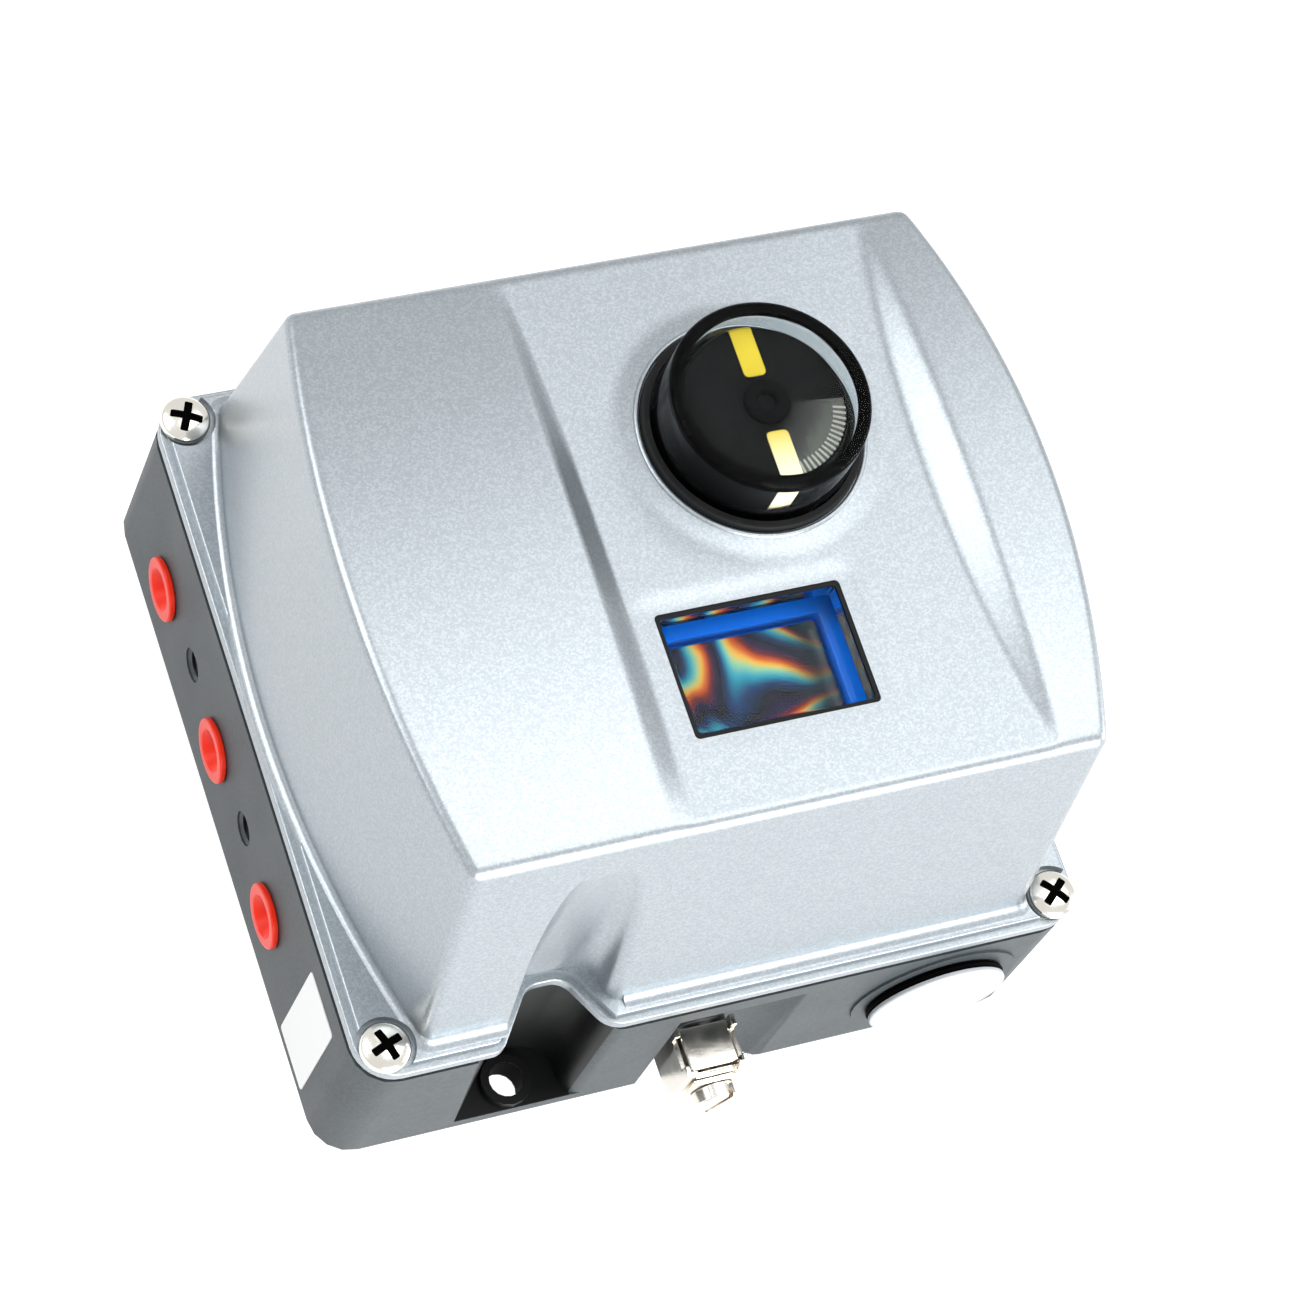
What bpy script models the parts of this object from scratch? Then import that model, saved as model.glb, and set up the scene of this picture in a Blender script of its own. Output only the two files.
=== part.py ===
"""Rotary valve positioner: cast housing, lift-off cover, feedback shaft and pointer,
spool valve, prestage, electronics and local interface.

Metres, +Z up. The origin is the middle of the housing's back mounting face. The port
face looks along -X, the front with the cable entry along -Y.
"""
import math

import bmesh
import bpy
from mathutils import Matrix, Vector

OBJECT = "valve_positioner"
GAP = 0.0003
CUT_PAST = 0.0100
MERGE_DISTANCE = 0.00001

# Housing casting
HOUSING_WIDTH = 0.140
HOUSING_DEPTH = 0.1338
HOUSING_HEIGHT = 0.0382
HOUSING_CORNER = 0.0075
HOUSING_WALL = 0.005
HOUSING_FLOOR = 0.006
BOTTOM_EDGE = 0.0022
MANIFOLD_WALL = 0.014
FRONT_LEFT_WALL = 0.0165
EARTH_WALL = 0.0114
ENTRY_WALL = 0.0085
BOSS_CHAMFER = 0.0105
BACK_WEB = 0.0070
BACK_SIDE_MARGIN = 0.0180
BACK_END_MARGIN = 0.0200
BACK_PAD = 0.0040
BACK_POCKET_DEPTH = 0.0015

# Rim: a flat gasket between the housing and the cover's flange
GASKET_THICKNESS = 0.0006
GASKET_INSET = 0.0009
GASKET_LAP = 0.0005
GASKET_COLLAR = 0.0042

# Cover
FLANGE_THICKNESS = 0.0041
FLANGE_LIP = 0.0024
FLANGE_STEP = 0.0013
FLANGE_OVERLAP = 0.0015
COVER_WALL = 0.0026
COVER_SIDE_SETBACK = 0.0018
COVER_SIDE_RADIUS = 0.200
COVER_SIDE_DRAFT = 0.035
COVER_FOOT_SETBACK = 0.0039
COVER_BATTER = 0.0095
COVER_TOP_HEIGHT = 0.0970
SIDE_PANEL_ARCH = 0.0044
MIDDLE_PANEL_ARCH = 0.0006
SIDE_PANEL_WIDTH = 0.0177
FACET_WIDTH_END = 0.0013
FACET_WIDTH_MIDDLE = 0.0055
COVER_STATIONS = 12
COVER_EDGE = 0.0016

# Mounting recess in the housing, which runs up the cover as a scoop
RECESS_SETBACK = 0.0368
RECESS_HALF_WIDTH = 0.0093
RECESS_BACK = 0.0106
RECESS_CORNER = 0.0052
RECESS_FLARE = 0.0040
RECESS_DIAGONAL = 0.0108
RECESS_DRAFT = 0.0034
RECESS_FLOOR = 0.0050
RECESS_STEP = 0.0005
SCOOP_BACK = 0.0119
BOLT_SETBACK = 0.0051
BOLT_HOLE = 0.0033
BOLT_BOSS = 0.0049
BOLT_BOSS_HEIGHT = 0.0018

# Feedback shaft
SHAFT_X = 0.0150
SHAFT_Y = 0.0160
SHAFT_RADIUS = 0.0040
SHAFT_BELOW = 0.0140
SHAFT_EDGE = 0.0005
SHAFT_CLEARANCE = 0.0010
SHAFT_FLAT = 0.0012
SHAFT_FLAT_LENGTH = 0.0110
HUB_DEPTH = 0.0062
SHAFT_NECK = 0.0030
SHAFT_NECK_LENGTH = 0.0120
SHAFT_RUNNING = 0.0001
BUSH_WALL = 0.0020
BUSH_LENGTH = 0.0080
SEAL_LENGTH = 0.0030
SHAFT_BOSS = 0.0110
SHAFT_BOSS_HEIGHT = 0.0150
SENSOR_RADIUS = 0.0150
SENSOR_BORE = 0.0110
SENSOR_HEIGHT = 0.0120
SENSOR_FOOT = 0.0030
CONNECTOR_ROOT = 0.0020
CONNECTOR_WIDTH = 0.0080
CONNECTOR_REACH = 0.0050
CONNECTOR_FOOT = 0.0010
MAGNET_RADIUS = 0.0085
MAGNET_HEIGHT = 0.0060

# Position indicator
DOME_RADIUS = 0.0186
DOME_TOP_RADIUS = 0.0181
DOME_RISE = 0.0140
DOME_WALL = 0.0020
DOME_ROOF = 0.0022
DOME_EDGE = 0.0014
DOME_FLANGE = 0.0030
DOME_FLANGE_THICKNESS = 0.0018
DOME_SEAL_THICKNESS = 0.0012
DOME_SEAL_LIP = 0.0008
DOME_SEAL_PROUD = 0.0004
RETAINER_WIDTH = 0.0045
RETAINER_THICKNESS = 0.0020
RETAINER_CLEARANCE = 0.0004
DRUM_RADIUS = 0.0150
DRUM_HEIGHT = 0.0135
DRUM_WALL = 0.0018
DRUM_ROOF = 0.0024
DRUM_BOSS_WALL = 0.0022
DRUM_EDGE = 0.0008
DRUM_TOP_CLEARANCE = 0.0022
STRIPE_WIDTH = 0.0041
STRIPE_THICKNESS = 0.0006
STRIPE_START = 0.0054
STRIPE_SINK = 0.0002
HUB_RADIUS = 0.0041
HUB_HEIGHT = 0.0009
HUB_EDGE = 0.0004

# Window over the display
WINDOW_X = 0.0037
WINDOW_SIDE_MARGINS = 0.0402
WINDOW_END_MARGINS = 0.0082
WINDOW_OFFSET = 0.0012
WINDOW_CORNER = 0.0008
WINDOW_POCKET_CORNER = 0.0020
WINDOW_PANE_CORNER = 0.0015
WINDOW_POCKET_MARGIN = 0.0022
WINDOW_POCKET_DEPTH = 0.0012
WINDOW_THICKNESS = 0.0020
WINDOW_LAP = 0.0025
WINDOW_SEAL = 0.0010

# Cover screws
SCREW_INSET = 0.0051
SCREW_HEAD = 0.0046
SCREW_HEAD_HEIGHT = 0.0026
SCREW_SEAT = 0.0014
SCREW_SEAT_MARGIN = 0.0007
SCREW_CROWN = ((0.0, 0.0), (0.55, 0.105), (0.85, 0.35), (1.0, 0.665))
SCREW_SHANK = 0.0020
SCREW_LENGTH = 0.0150
CROSS_WIDTH = 0.0011
CROSS_LENGTH = 0.0050
CROSS_DEPTH = 0.0014

# Port face
PORT_HEIGHT = 0.0170
PORT_PITCH = 0.0330
PORT_MIDDLE_Y = 0.0080
PORT_BORE = 0.0057
PORT_DEPTH = 0.0120
PLUG_FLANGE = 0.0061
PLUG_FLANGE_THICKNESS = 0.0010
PLUG_LENGTH = 0.0085
PLUG_DISH = 0.0042
PLUG_DISH_DEPTH = 0.0024
PLUG_DISH_FLOOR = 0.00336
PLUG_SLOT_LENGTH = 0.0034
PLUG_SLOT_WIDTH = 0.0013
PLUG_SLOT_DEPTH = 0.0030
TAPPED_HEIGHT = 0.0186
TAPPED_RADIUS = 0.0033
TAPPED_DEPTH = 0.0100

# Cable entry with its blanking plug
ENTRY_SETBACK = 0.0235
ENTRY_DROP = 0.0180
ENTRY_BORE = 0.0093
ENTRY_PAD = 0.0160
ENTRY_PAD_PROUD = 0.0005
CAP_RADIUS = 0.0132
CAP_THICKNESS = 0.0009
CAP_SEAL_THICKNESS = 0.0010
CAP_SEAL_PROUD = 0.0002
CAP_SHANK_LENGTH = 0.0070
CAP_SHANK_WALL = 0.0020

# External earth terminal
EARTH_X = -0.0003
EARTH_HEIGHT = 0.0177
POCKET_SIDE = 0.0018
POCKET_SWEEP = 0.0110
POCKET_CORNER = 0.0025
POCKET_DEPTH = 0.0045
POCKET_RIM = 0.0042
POCKET_OVERRUN = 4
EARTH_BOSS = 0.0065
EARTH_BOSS_LENGTH = 0.0018
EARTH_BOSS_ROOT = 0.0030
EARTH_THREAD_DEPTH = 0.0050
BRACKET_WIDTH = 0.0124
BRACKET_LENGTH = 0.0098
BRACKET_HEIGHT = 0.0135
BRACKET_SHEET = 0.0011
BRACKET_KEEL = 0.0054
BRACKET_NOTCH = 0.0022
CLAMP_WIDTH = 0.0094
CLAMP_LENGTH = 0.0080
CLAMP_SHEET = 0.0016
EARTH_WASHER = 0.0092
EARTH_WASHER_THICKNESS = 0.0009
EARTH_SCREW_HEAD = 0.0041
EARTH_SCREW_HEAD_HEIGHT = 0.0028
EARTH_SCREW_SHANK = 0.0019
EARTH_SLOT_WIDTH = 0.0012
EARTH_SLOT_DEPTH = 0.0013

# Spool valve and prestage
VALVE_WIDTH = 0.0240
VALVE_LENGTH = 0.0600
VALVE_HEIGHT = 0.0260
VALVE_EDGE = 0.0010
VALVE_BORE = 0.0056
VALVE_CAP_LENGTH = 0.0060
VALVE_CAP_RADIUS = 0.0090
VALVE_CAP_EDGE = 0.0006
VALVE_GASKET = 0.0008
VALVE_GASKET_INSET = 0.0005
SPOOL_LAND = 0.0054
SPOOL_WAIST = 0.0036
SPOOL_TRAVEL = 0.0012
SPOOL_LANDS = 5
SPRING_WIRE = 0.0004
SPRING_LENGTH = 0.0070
SPRING_TURNS = 4
SPRING_STEPS = 8
VALVE_SCREW_HEAD = 0.0029
VALVE_SCREW_HEAD_HEIGHT = 0.0020
VALVE_SCREW_SHANK = 0.0014
VALVE_SCREW_MARGIN = 0.0006
PRESTAGE_WIDTH = 0.0200
PRESTAGE_LENGTH = 0.0170
PRESTAGE_HEIGHT = 0.0160
PRESTAGE_BACK_GAP = 0.0010
PRESTAGE_SCREW_GAP = 0.0020
COIL_RADIUS = 0.0065
COIL_HEIGHT = 0.0110
COIL_SINK = 0.0040
NOZZLE_RADIUS = 0.0022
NOZZLE_HEIGHT = 0.0045

# Small slotted screws inside
SMALL_SHANK = 0.0012
SMALL_THREAD_DEPTH = 0.0035
SMALL_BITE = 0.0030
SMALL_EDGE = 0.0004
SMALL_SLOT_SHARE = 0.65
SMALL_SLOT_WIDTH = 0.0007
SMALL_SLOT_DEPTH = 0.0008

# Electronics, shield and local interface
SHIELD_SIDE_GAP = 0.0080
SHIELD_BACK_GAP = 0.0179
SHIELD_VALVE_GAP = 0.0057
SHIELD_TERMINAL_GAP = 0.0009
SHIELD_HEADROOM = 0.0170
SHIELD_WALL = 0.0020
SHIELD_CORNER = 0.0050
SHIELD_EDGE = 0.0012
SHIELD_TAB = 0.0070
SHIELD_TAB_REACH = 0.00525
SHIELD_TAB_THICKNESS = 0.0025
SHIELD_SCREW_HEAD = 0.0026
SHIELD_SCREW_HEAD_HEIGHT = 0.0018
BOARD_THICKNESS = 0.0016
BOARD_HEIGHT = 0.0340
BOARD_MARGIN = 0.0030
BOARD_CORNER = 0.0020
BOARD_SENSOR_GAP = 0.0020
CHIP_SIDE = 0.0140
CHIP_HEIGHT = 0.0030
CAPACITOR_SIDE = 0.0100
CAPACITOR_HEIGHT = 0.0090
CHIP_MARGIN = 0.0045
POST_RADIUS = 0.0032
TERMINAL_WIDTH = 0.0300
TERMINAL_DEPTH = 0.0100
TERMINAL_HEIGHT = 0.0140
TERMINAL_WAYS = 6
WELL_SHARE = 0.32
WELL_PLACE = 0.62
WELL_DEPTH = 0.0030
MOUTH_SHARE = 0.30
MOUTH_DEPTH = 0.0030
MOUTH_LOW = 0.0030
MOUTH_HEIGHT = 0.0035
TERMINAL_SETBACK = 0.0035
TERMINAL_OFFSET = 0.0135
PANEL_LEFT_MARGIN = 0.0010
PANEL_RIGHT_MARGIN = 0.0070
PANEL_FRONT_MARGIN = 0.0009
PANEL_SHAFT_GAP = 0.0275
PANEL_CORNER = 0.0020
PANEL_HEIGHT = 0.0080
PANEL_FRAME_DEPTH = 0.0030
PANEL_SCREW_INSET = 0.0045
PANEL_SCREW_SINK = 0.0040
LCD_OFFSET_X = 0.0019
LCD_OFFSET_Y = 0.0015
LCD_SIDE_MARGINS = 0.0022
LCD_END_MARGINS = 0.0034
LCD_CORNER = 0.0004
LCD_FRAME_CORNER = 0.0006
LCD_MARGIN = 0.0012
LCD_THICKNESS = 0.0022
BUTTONS = 4
BUTTON_END_MARGINS = 0.0082
BUTTON_EDGE = 0.0005
BUTTON_PROUD = 0.0012
BUTTON_TRAVEL = 0.0008
BUTTON_MARGIN = 0.0170

# Worked out from the sizes above
FRONT = -HOUSING_DEPTH / 2
PORT_FACE = -HOUSING_WIDTH / 2
FLANGE_BOTTOM = HOUSING_HEIGHT + GASKET_THICKNESS + 2 * GAP
FLANGE_TOP = FLANGE_BOTTOM + FLANGE_THICKNESS
COVER_SIDE_REACH = HOUSING_WIDTH / 2 - COVER_SIDE_SETBACK
COVER_FOOT_DEPTH = HOUSING_DEPTH / 2 - COVER_FOOT_SETBACK
COVER_TOP_DEPTH = COVER_FOOT_DEPTH - COVER_BATTER
MIDDLE_X = SHAFT_X
FACET_OUTER = COVER_SIDE_REACH - SIDE_PANEL_WIDTH - MIDDLE_X
RECESS_X = PORT_FACE + RECESS_SETBACK
ENTRY_X = HOUSING_WIDTH / 2 - ENTRY_SETBACK
ENTRY_HEIGHT = HOUSING_HEIGHT - ENTRY_DROP
DOME_BASE = COVER_TOP_HEIGHT + MIDDLE_PANEL_ARCH
DOME_TOP = DOME_BASE + DOME_RISE
DRUM_TOP = DOME_TOP - DOME_ROOF - DRUM_TOP_CLEARANCE
SHAFT_TOP = DRUM_TOP - HUB_DEPTH
SHIELD_BOTTOM = HOUSING_FLOOR + GAP
VALVE_X = PORT_FACE + MANIFOLD_WALL + GAP + VALVE_WIDTH / 2
VALVE_BOTTOM = HOUSING_FLOOR + VALVE_GASKET + 2 * GAP
VALVE_AXIS = VALVE_BOTTOM + VALVE_HEIGHT / 2
TERMINAL_X = ENTRY_X - TERMINAL_OFFSET
TERMINAL_FRONT = FRONT + ENTRY_WALL + TERMINAL_SETBACK
SHIELD_TOP = COVER_TOP_HEIGHT - SHIELD_HEADROOM
SHIELD_LEFT = VALVE_X + VALVE_WIDTH / 2 + SHIELD_VALVE_GAP
SHIELD_RIGHT = HOUSING_WIDTH / 2 - HOUSING_WALL - SHIELD_SIDE_GAP
SHIELD_FRONT = TERMINAL_FRONT + TERMINAL_DEPTH + SHIELD_TERMINAL_GAP
SHIELD_BACK = HOUSING_DEPTH / 2 - HOUSING_WALL - SHIELD_BACK_GAP
SHIELD_X = (SHIELD_LEFT + SHIELD_RIGHT) / 2
SHIELD_Y = (SHIELD_FRONT + SHIELD_BACK) / 2
SHIELD_WIDTH = SHIELD_RIGHT - SHIELD_LEFT
SHIELD_DEPTH = SHIELD_BACK - SHIELD_FRONT
PANEL_LEFT = SHIELD_LEFT + PANEL_LEFT_MARGIN
PANEL_RIGHT = SHIELD_RIGHT - PANEL_RIGHT_MARGIN
PANEL_X = (PANEL_LEFT + PANEL_RIGHT) / 2
PANEL_WIDTH = PANEL_RIGHT - PANEL_LEFT
PANEL_FRONT = SHIELD_FRONT + PANEL_FRONT_MARGIN
PANEL_BACK = SHAFT_Y - PANEL_SHAFT_GAP
PANEL_Y = (PANEL_FRONT + PANEL_BACK) / 2
PANEL_DEPTH = PANEL_BACK - PANEL_FRONT
WINDOW_Y = PANEL_Y + WINDOW_OFFSET
WINDOW_WIDTH = PANEL_WIDTH - WINDOW_SIDE_MARGINS
WINDOW_DEPTH = PANEL_DEPTH - WINDOW_END_MARGINS
LCD_WIDTH = WINDOW_WIDTH - LCD_SIDE_MARGINS
LCD_DEPTH = WINDOW_DEPTH - LCD_END_MARGINS
LCD_X = WINDOW_X - LCD_OFFSET_X
LCD_Y = WINDOW_Y - LCD_OFFSET_Y
BUTTON_X = PANEL_RIGHT - BUTTON_MARGIN
BUTTON_PITCH = (PANEL_DEPTH - BUTTON_END_MARGINS) / (BUTTONS - 1)
BUTTON_RADIUS = BUTTON_PITCH / 3
PANEL_BOTTOM = SHIELD_TOP + GAP
PANEL_TOP = PANEL_BOTTOM + PANEL_HEIGHT
POCKET_WALL = FRONT + POCKET_DEPTH
POCKET_TOP = HOUSING_HEIGHT - POCKET_RIM
EARTH_FACE = POCKET_WALL - EARTH_BOSS_LENGTH

COLOURS = {
    "grey_paint": ((0.105, 0.112, 0.120), 0.45, 0.3),
    "silver_paint": ((0.55, 0.57, 0.60), 0.38, 0.6),
    "rubber": ((0.015, 0.015, 0.016), 0.75, 0.0),
    "red_plastic": ((0.80, 0.05, 0.02), 0.45, 0.0),
    "white_plastic": ((0.82, 0.82, 0.83), 0.4, 0.0),
    "nickel": ((0.66, 0.64, 0.58), 0.25, 1.0),
    "steel": ((0.50, 0.50, 0.51), 0.3, 1.0),
    "bronze": ((0.45, 0.28, 0.12), 0.4, 1.0),
    "aluminium": ((0.60, 0.61, 0.62), 0.4, 1.0),
    "black_plastic": ((0.02, 0.02, 0.022), 0.4, 0.0),
    "yellow_plastic": ((0.90, 0.62, 0.05), 0.45, 0.0),
    "clear_plastic": ((0.85, 0.90, 0.92), 0.05, 0.0),
    "blue_plastic": ((0.01, 0.16, 0.55), 0.35, 0.0),
    "board": ((0.02, 0.16, 0.06), 0.5, 0.0),
    "display": ((0.20, 0.24, 0.20), 0.1, 0.0),
}


def clear_scene():
    for thing in list(bpy.data.objects):
        bpy.data.objects.remove(thing, do_unlink=True)


def collection(name):
    group = bpy.data.collections.new(name)
    bpy.context.scene.collection.children.link(group)
    return group


def material(name):
    colour, roughness, metallic = COLOURS[name]
    finish = bpy.data.materials.get(name) or bpy.data.materials.new(name)
    finish.use_nodes = True
    shader = finish.node_tree.nodes["Principled BSDF"]
    shader.inputs["Base Color"].default_value = (*colour, 1.0)
    shader.inputs["Roughness"].default_value = roughness
    shader.inputs["Metallic"].default_value = metallic
    return finish


def adopt(thing, group):
    for owner in list(thing.users_collection):
        owner.objects.unlink(thing)
    group.objects.link(thing)
    return thing


def new_object(name, mesh, group):
    thing = bpy.data.objects.new(name, mesh)
    group.objects.link(thing)
    return thing


def from_bmesh(name, shape, group):
    mesh = bpy.data.meshes.new(name)
    bmesh.ops.recalc_face_normals(shape, faces=shape.faces)
    shape.to_mesh(mesh)
    shape.free()
    return new_object(name, mesh, group)


def box(name, size, centre, group):
    shape = bmesh.new()
    bmesh.ops.create_cube(shape, size=1.0)
    bmesh.ops.scale(shape, vec=Vector(size), verts=shape.verts)
    bmesh.ops.translate(shape, vec=Vector(centre), verts=shape.verts)
    return from_bmesh(name, shape, group)


def span(name, low, high, group):
    size = [top - bottom for bottom, top in zip(low, high)]
    centre = [(top + bottom) / 2 for bottom, top in zip(low, high)]
    return box(name, size, centre, group)


AXIS_TURN = {
    "Z": Matrix.Identity(4),
    "X": Matrix.Rotation(math.radians(90), 4, "Y"),
    "Y": Matrix.Rotation(math.radians(-90), 4, "X"),
}


def cylinder(name, radius, length, start, axis, group, segments=32, top_radius=None):
    """A cylinder or cone from start, running length along the axis X, Y or Z."""
    shape = bmesh.new()
    far = radius if top_radius is None else top_radius
    bmesh.ops.create_cone(shape, cap_ends=True, segments=segments, radius1=radius,
                          radius2=far, depth=length)
    bmesh.ops.translate(shape, vec=Vector((0, 0, length / 2)), verts=shape.verts)
    bmesh.ops.transform(shape, matrix=AXIS_TURN[axis], verts=shape.verts)
    bmesh.ops.translate(shape, vec=Vector(start), verts=shape.verts)
    return from_bmesh(name, shape, group)


def smooth(thing, angle=35):
    for face in thing.data.polygons:
        face.use_smooth = True
    thing.data.set_sharp_from_angle(angle=math.radians(angle))


def turned(name, profile, place, group, axis="Z", steps=24, closed=False):
    """A turned piece: profile points (radius, height), outer side from top to bottom."""
    mesh = bpy.data.meshes.new(name)
    edges = [(i, i + 1) for i in range(len(profile) - 1)]
    if closed:
        edges.append((len(profile) - 1, 0))
    mesh.from_pydata([(r, 0.0, z) for r, z in profile], edges, [])
    thing = new_object(name, mesh, group)
    screw = thing.modifiers.new("turn", "SCREW")
    screw.steps = steps
    screw.render_steps = steps
    screw.use_merge_vertices = True
    screw.merge_threshold = 0.00001
    screw.use_normal_calculate = True
    thing.matrix_world = Matrix.Translation(place) @ AXIS_TURN[axis]
    return bake(thing, group)


def bake(thing, group):
    """Turn an object with modifiers, or a curve, into a plain welded mesh in world space."""
    bpy.context.view_layer.update()
    evaluated = thing.evaluated_get(bpy.context.evaluated_depsgraph_get())
    mesh = bpy.data.meshes.new_from_object(evaluated)
    mesh.transform(thing.matrix_world)
    name = thing.name
    bpy.data.objects.remove(thing, do_unlink=True)
    shape = bmesh.new()
    shape.from_mesh(mesh)
    bmesh.ops.remove_doubles(shape, verts=shape.verts, dist=0.000002)
    bpy.data.meshes.remove(mesh)
    return from_bmesh(name, shape, group)


def plate(name, outlines, low, high, group):
    """A flat outline, with any holes as further outlines, from height low to high."""
    curve = bpy.data.curves.new(name, "CURVE")
    curve.dimensions = "2D"
    curve.fill_mode = "BOTH"
    curve.extrude = (high - low) / 2
    for outline in outlines:
        spline = curve.splines.new("POLY")
        spline.points.add(len(outline) - 1)
        for point, (x, y) in zip(spline.points, outline):
            point.co = (x, y, 0.0, 1.0)
        spline.use_cyclic_u = True
    thing = new_object(name, curve, group)
    thing.location.z = (high + low) / 2
    return bake(thing, group)


def boolean(target, tool, operation):
    change = target.modifiers.new(tool.name, "BOOLEAN")
    change.operation = operation
    change.solver = "EXACT"
    change.object = tool
    tool.hide_render = True
    tool.display_type = "WIRE"
    return target


def cut(target, *tools):
    for tool in tools:
        boolean(target, tool, "DIFFERENCE")
    return target


def join(target, *tools):
    for tool in tools:
        boolean(target, tool, "UNION")
    return target


def round_edges(target, width, segments=2, angle=30):
    change = target.modifiers.new("rounded edges", "BEVEL")
    change.width = width
    change.segments = segments
    change.limit_method = "ANGLE"
    change.angle_limit = math.radians(angle)
    change.harden_normals = False
    return target


def arc(centre, radius, start, end, steps):
    points = []
    for i in range(steps + 1):
        angle = math.radians(start + (end - start) * i / steps)
        points.append((centre[0] + radius * math.cos(angle), centre[1] + radius * math.sin(angle)))
    return points


def circle(centre, radius, steps=32):
    return arc(centre, radius, 0, 360, steps)[:-1]


def rounded_rectangle(half_x, half_y, radius, centre=(0, 0), steps=4):
    points = []
    for sx, sy, start in ((1, 1, 0), (-1, 1, 90), (-1, -1, 180), (1, -1, 270)):
        corner = (centre[0] + sx * (half_x - radius), centre[1] + sy * (half_y - radius))
        points.extend(arc(corner, radius, start, start + 90, steps))
    return points


class Build:
    """Holds the two collections and the empties that carry each moving group."""

    def __init__(self):
        self.parts = collection(OBJECT)
        self.tools = collection("cutters")
        self.carriers = {}

    def carrier(self, name, place):
        empty = bpy.data.objects.new("carrier_" + name, None)
        empty.location = place
        self.parts.objects.link(empty)
        self.carriers[name] = empty

    def finish(self, thing, colour, carrier=None, angle=35):
        adopt(thing, self.parts)
        thing.data.materials.clear()
        thing.data.materials.append(material(colour))
        smooth(thing, angle)
        if carrier:
            empty = self.carriers[carrier]
            thing.parent = empty
            thing.matrix_parent_inverse = Matrix.Translation(empty.location).inverted()
        return thing


def recess_outline(grow=0.0):
    """Plan of the mounting recess: diagonal left side, round back, flared right edge."""
    back = FRONT + RECESS_BACK + grow
    corner = RECESS_CORNER + grow
    outside = FRONT - 2 * FLANGE_THICKNESS
    left = RECESS_X - RECESS_HALF_WIDTH - grow
    right = RECESS_X + RECESS_HALF_WIDTH + grow
    flare = max(RECESS_FLARE - grow, GAP)
    shoulder = (left + corner, back)
    points = [(shoulder[0] - RECESS_DIAGONAL, outside)]
    points.append((shoulder[0] - RECESS_DIAGONAL, FRONT))
    points.extend(arc((shoulder[0] + corner / 3, back - corner), corner, 130, 90, 3))
    points.extend(arc((right - corner, back - corner), corner, 90, 0, 6))
    points.extend(arc((right + flare, FRONT + flare), flare, 180, 270, 4))
    points.append((right + flare, outside))
    return points


def scoop_outline(grow=0.0):
    """Plan of the scoop that runs up the cover's front wall from the recess."""
    back = FRONT + SCOOP_BACK + grow
    corner = RECESS_CORNER + grow
    outside = FRONT - 2 * FLANGE_THICKNESS
    left = RECESS_X - RECESS_HALF_WIDTH - grow
    right = RECESS_X + RECESS_HALF_WIDTH + grow
    points = [(left, outside)]
    points.extend(arc((left + corner, back - corner), corner, 180, 90, 6))
    points.extend(arc((right - corner, back - corner), corner, 90, 0, 6))
    points.append((right, outside))
    return points


def recess_cutter(name, low, high, group):
    """The recess through the housing, whose left side leans in towards the floor."""
    cutter = plate(name, [recess_outline(RECESS_STEP)], low, high, group)
    for vert in cutter.data.vertices:
        if vert.co.z < (low + high) / 2 and vert.co.x < RECESS_X - RECESS_HALF_WIDTH / 2:
            vert.co.x += RECESS_DRAFT
    return cutter


def screw_places():
    x = HOUSING_WIDTH / 2 - SCREW_INSET
    y = HOUSING_DEPTH / 2 - SCREW_INSET
    return [(-x, -y), (x, -y), (x, y), (-x, y)]


def cavity_outline():
    """Plan of the space inside the housing, thick at the ports, the recess and the entry."""
    left = PORT_FACE + MANIFOLD_WALL
    right = HOUSING_WIDTH / 2 - HOUSING_WALL
    back = HOUSING_DEPTH / 2 - HOUSING_WALL
    recess_wall = FRONT + FRONT_LEFT_WALL
    earth_wall = FRONT + EARTH_WALL
    entry_wall = FRONT + ENTRY_WALL
    recess_right = RECESS_X + RECESS_HALF_WIDTH + HOUSING_WALL
    earth_right = EARTH_X + BRACKET_WIDTH / 2 + POCKET_SWEEP
    return [
        (left, recess_wall), (recess_right, recess_wall),
        (recess_right + HOUSING_WALL, earth_wall), (earth_right, earth_wall),
        (earth_right + HOUSING_WALL / 2, entry_wall), (right - BOSS_CHAMFER, entry_wall),
        (right, entry_wall + BOSS_CHAMFER), (right, back - BOSS_CHAMFER),
        (right - BOSS_CHAMFER, back), (left + BOSS_CHAMFER, back), (left, back - BOSS_CHAMFER),
    ]


def port_places():
    return {
        "port_plug_s": PORT_MIDDLE_Y + PORT_PITCH,
        "port_plug_c1": PORT_MIDDLE_Y,
        "port_plug_c2": PORT_MIDDLE_Y - PORT_PITCH,
    }


def shield_tabs():
    """Places of the shield's two screw tabs, on its left side and at its back."""
    left = SHIELD_X - SHIELD_WIDTH / 2 - SHIELD_TAB / 2
    back = SHIELD_Y + SHIELD_DEPTH / 2 + SHIELD_TAB / 2
    return [(left, SHIELD_Y - SHIELD_DEPTH / 2 + SHIELD_TAB), (SHIELD_X + SHIELD_WIDTH / 4, back)]


def board_posts():
    half_x = SHIELD_WIDTH / 2 - SHIELD_WALL - BOARD_MARGIN - POST_RADIUS
    half_y = SHIELD_DEPTH / 2 - SHIELD_WALL - BOARD_MARGIN - POST_RADIUS
    return [(SHIELD_X + sx * half_x, SHIELD_Y + sy * half_y) for sx in (-1, 1) for sy in (-1, 1)]


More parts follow.
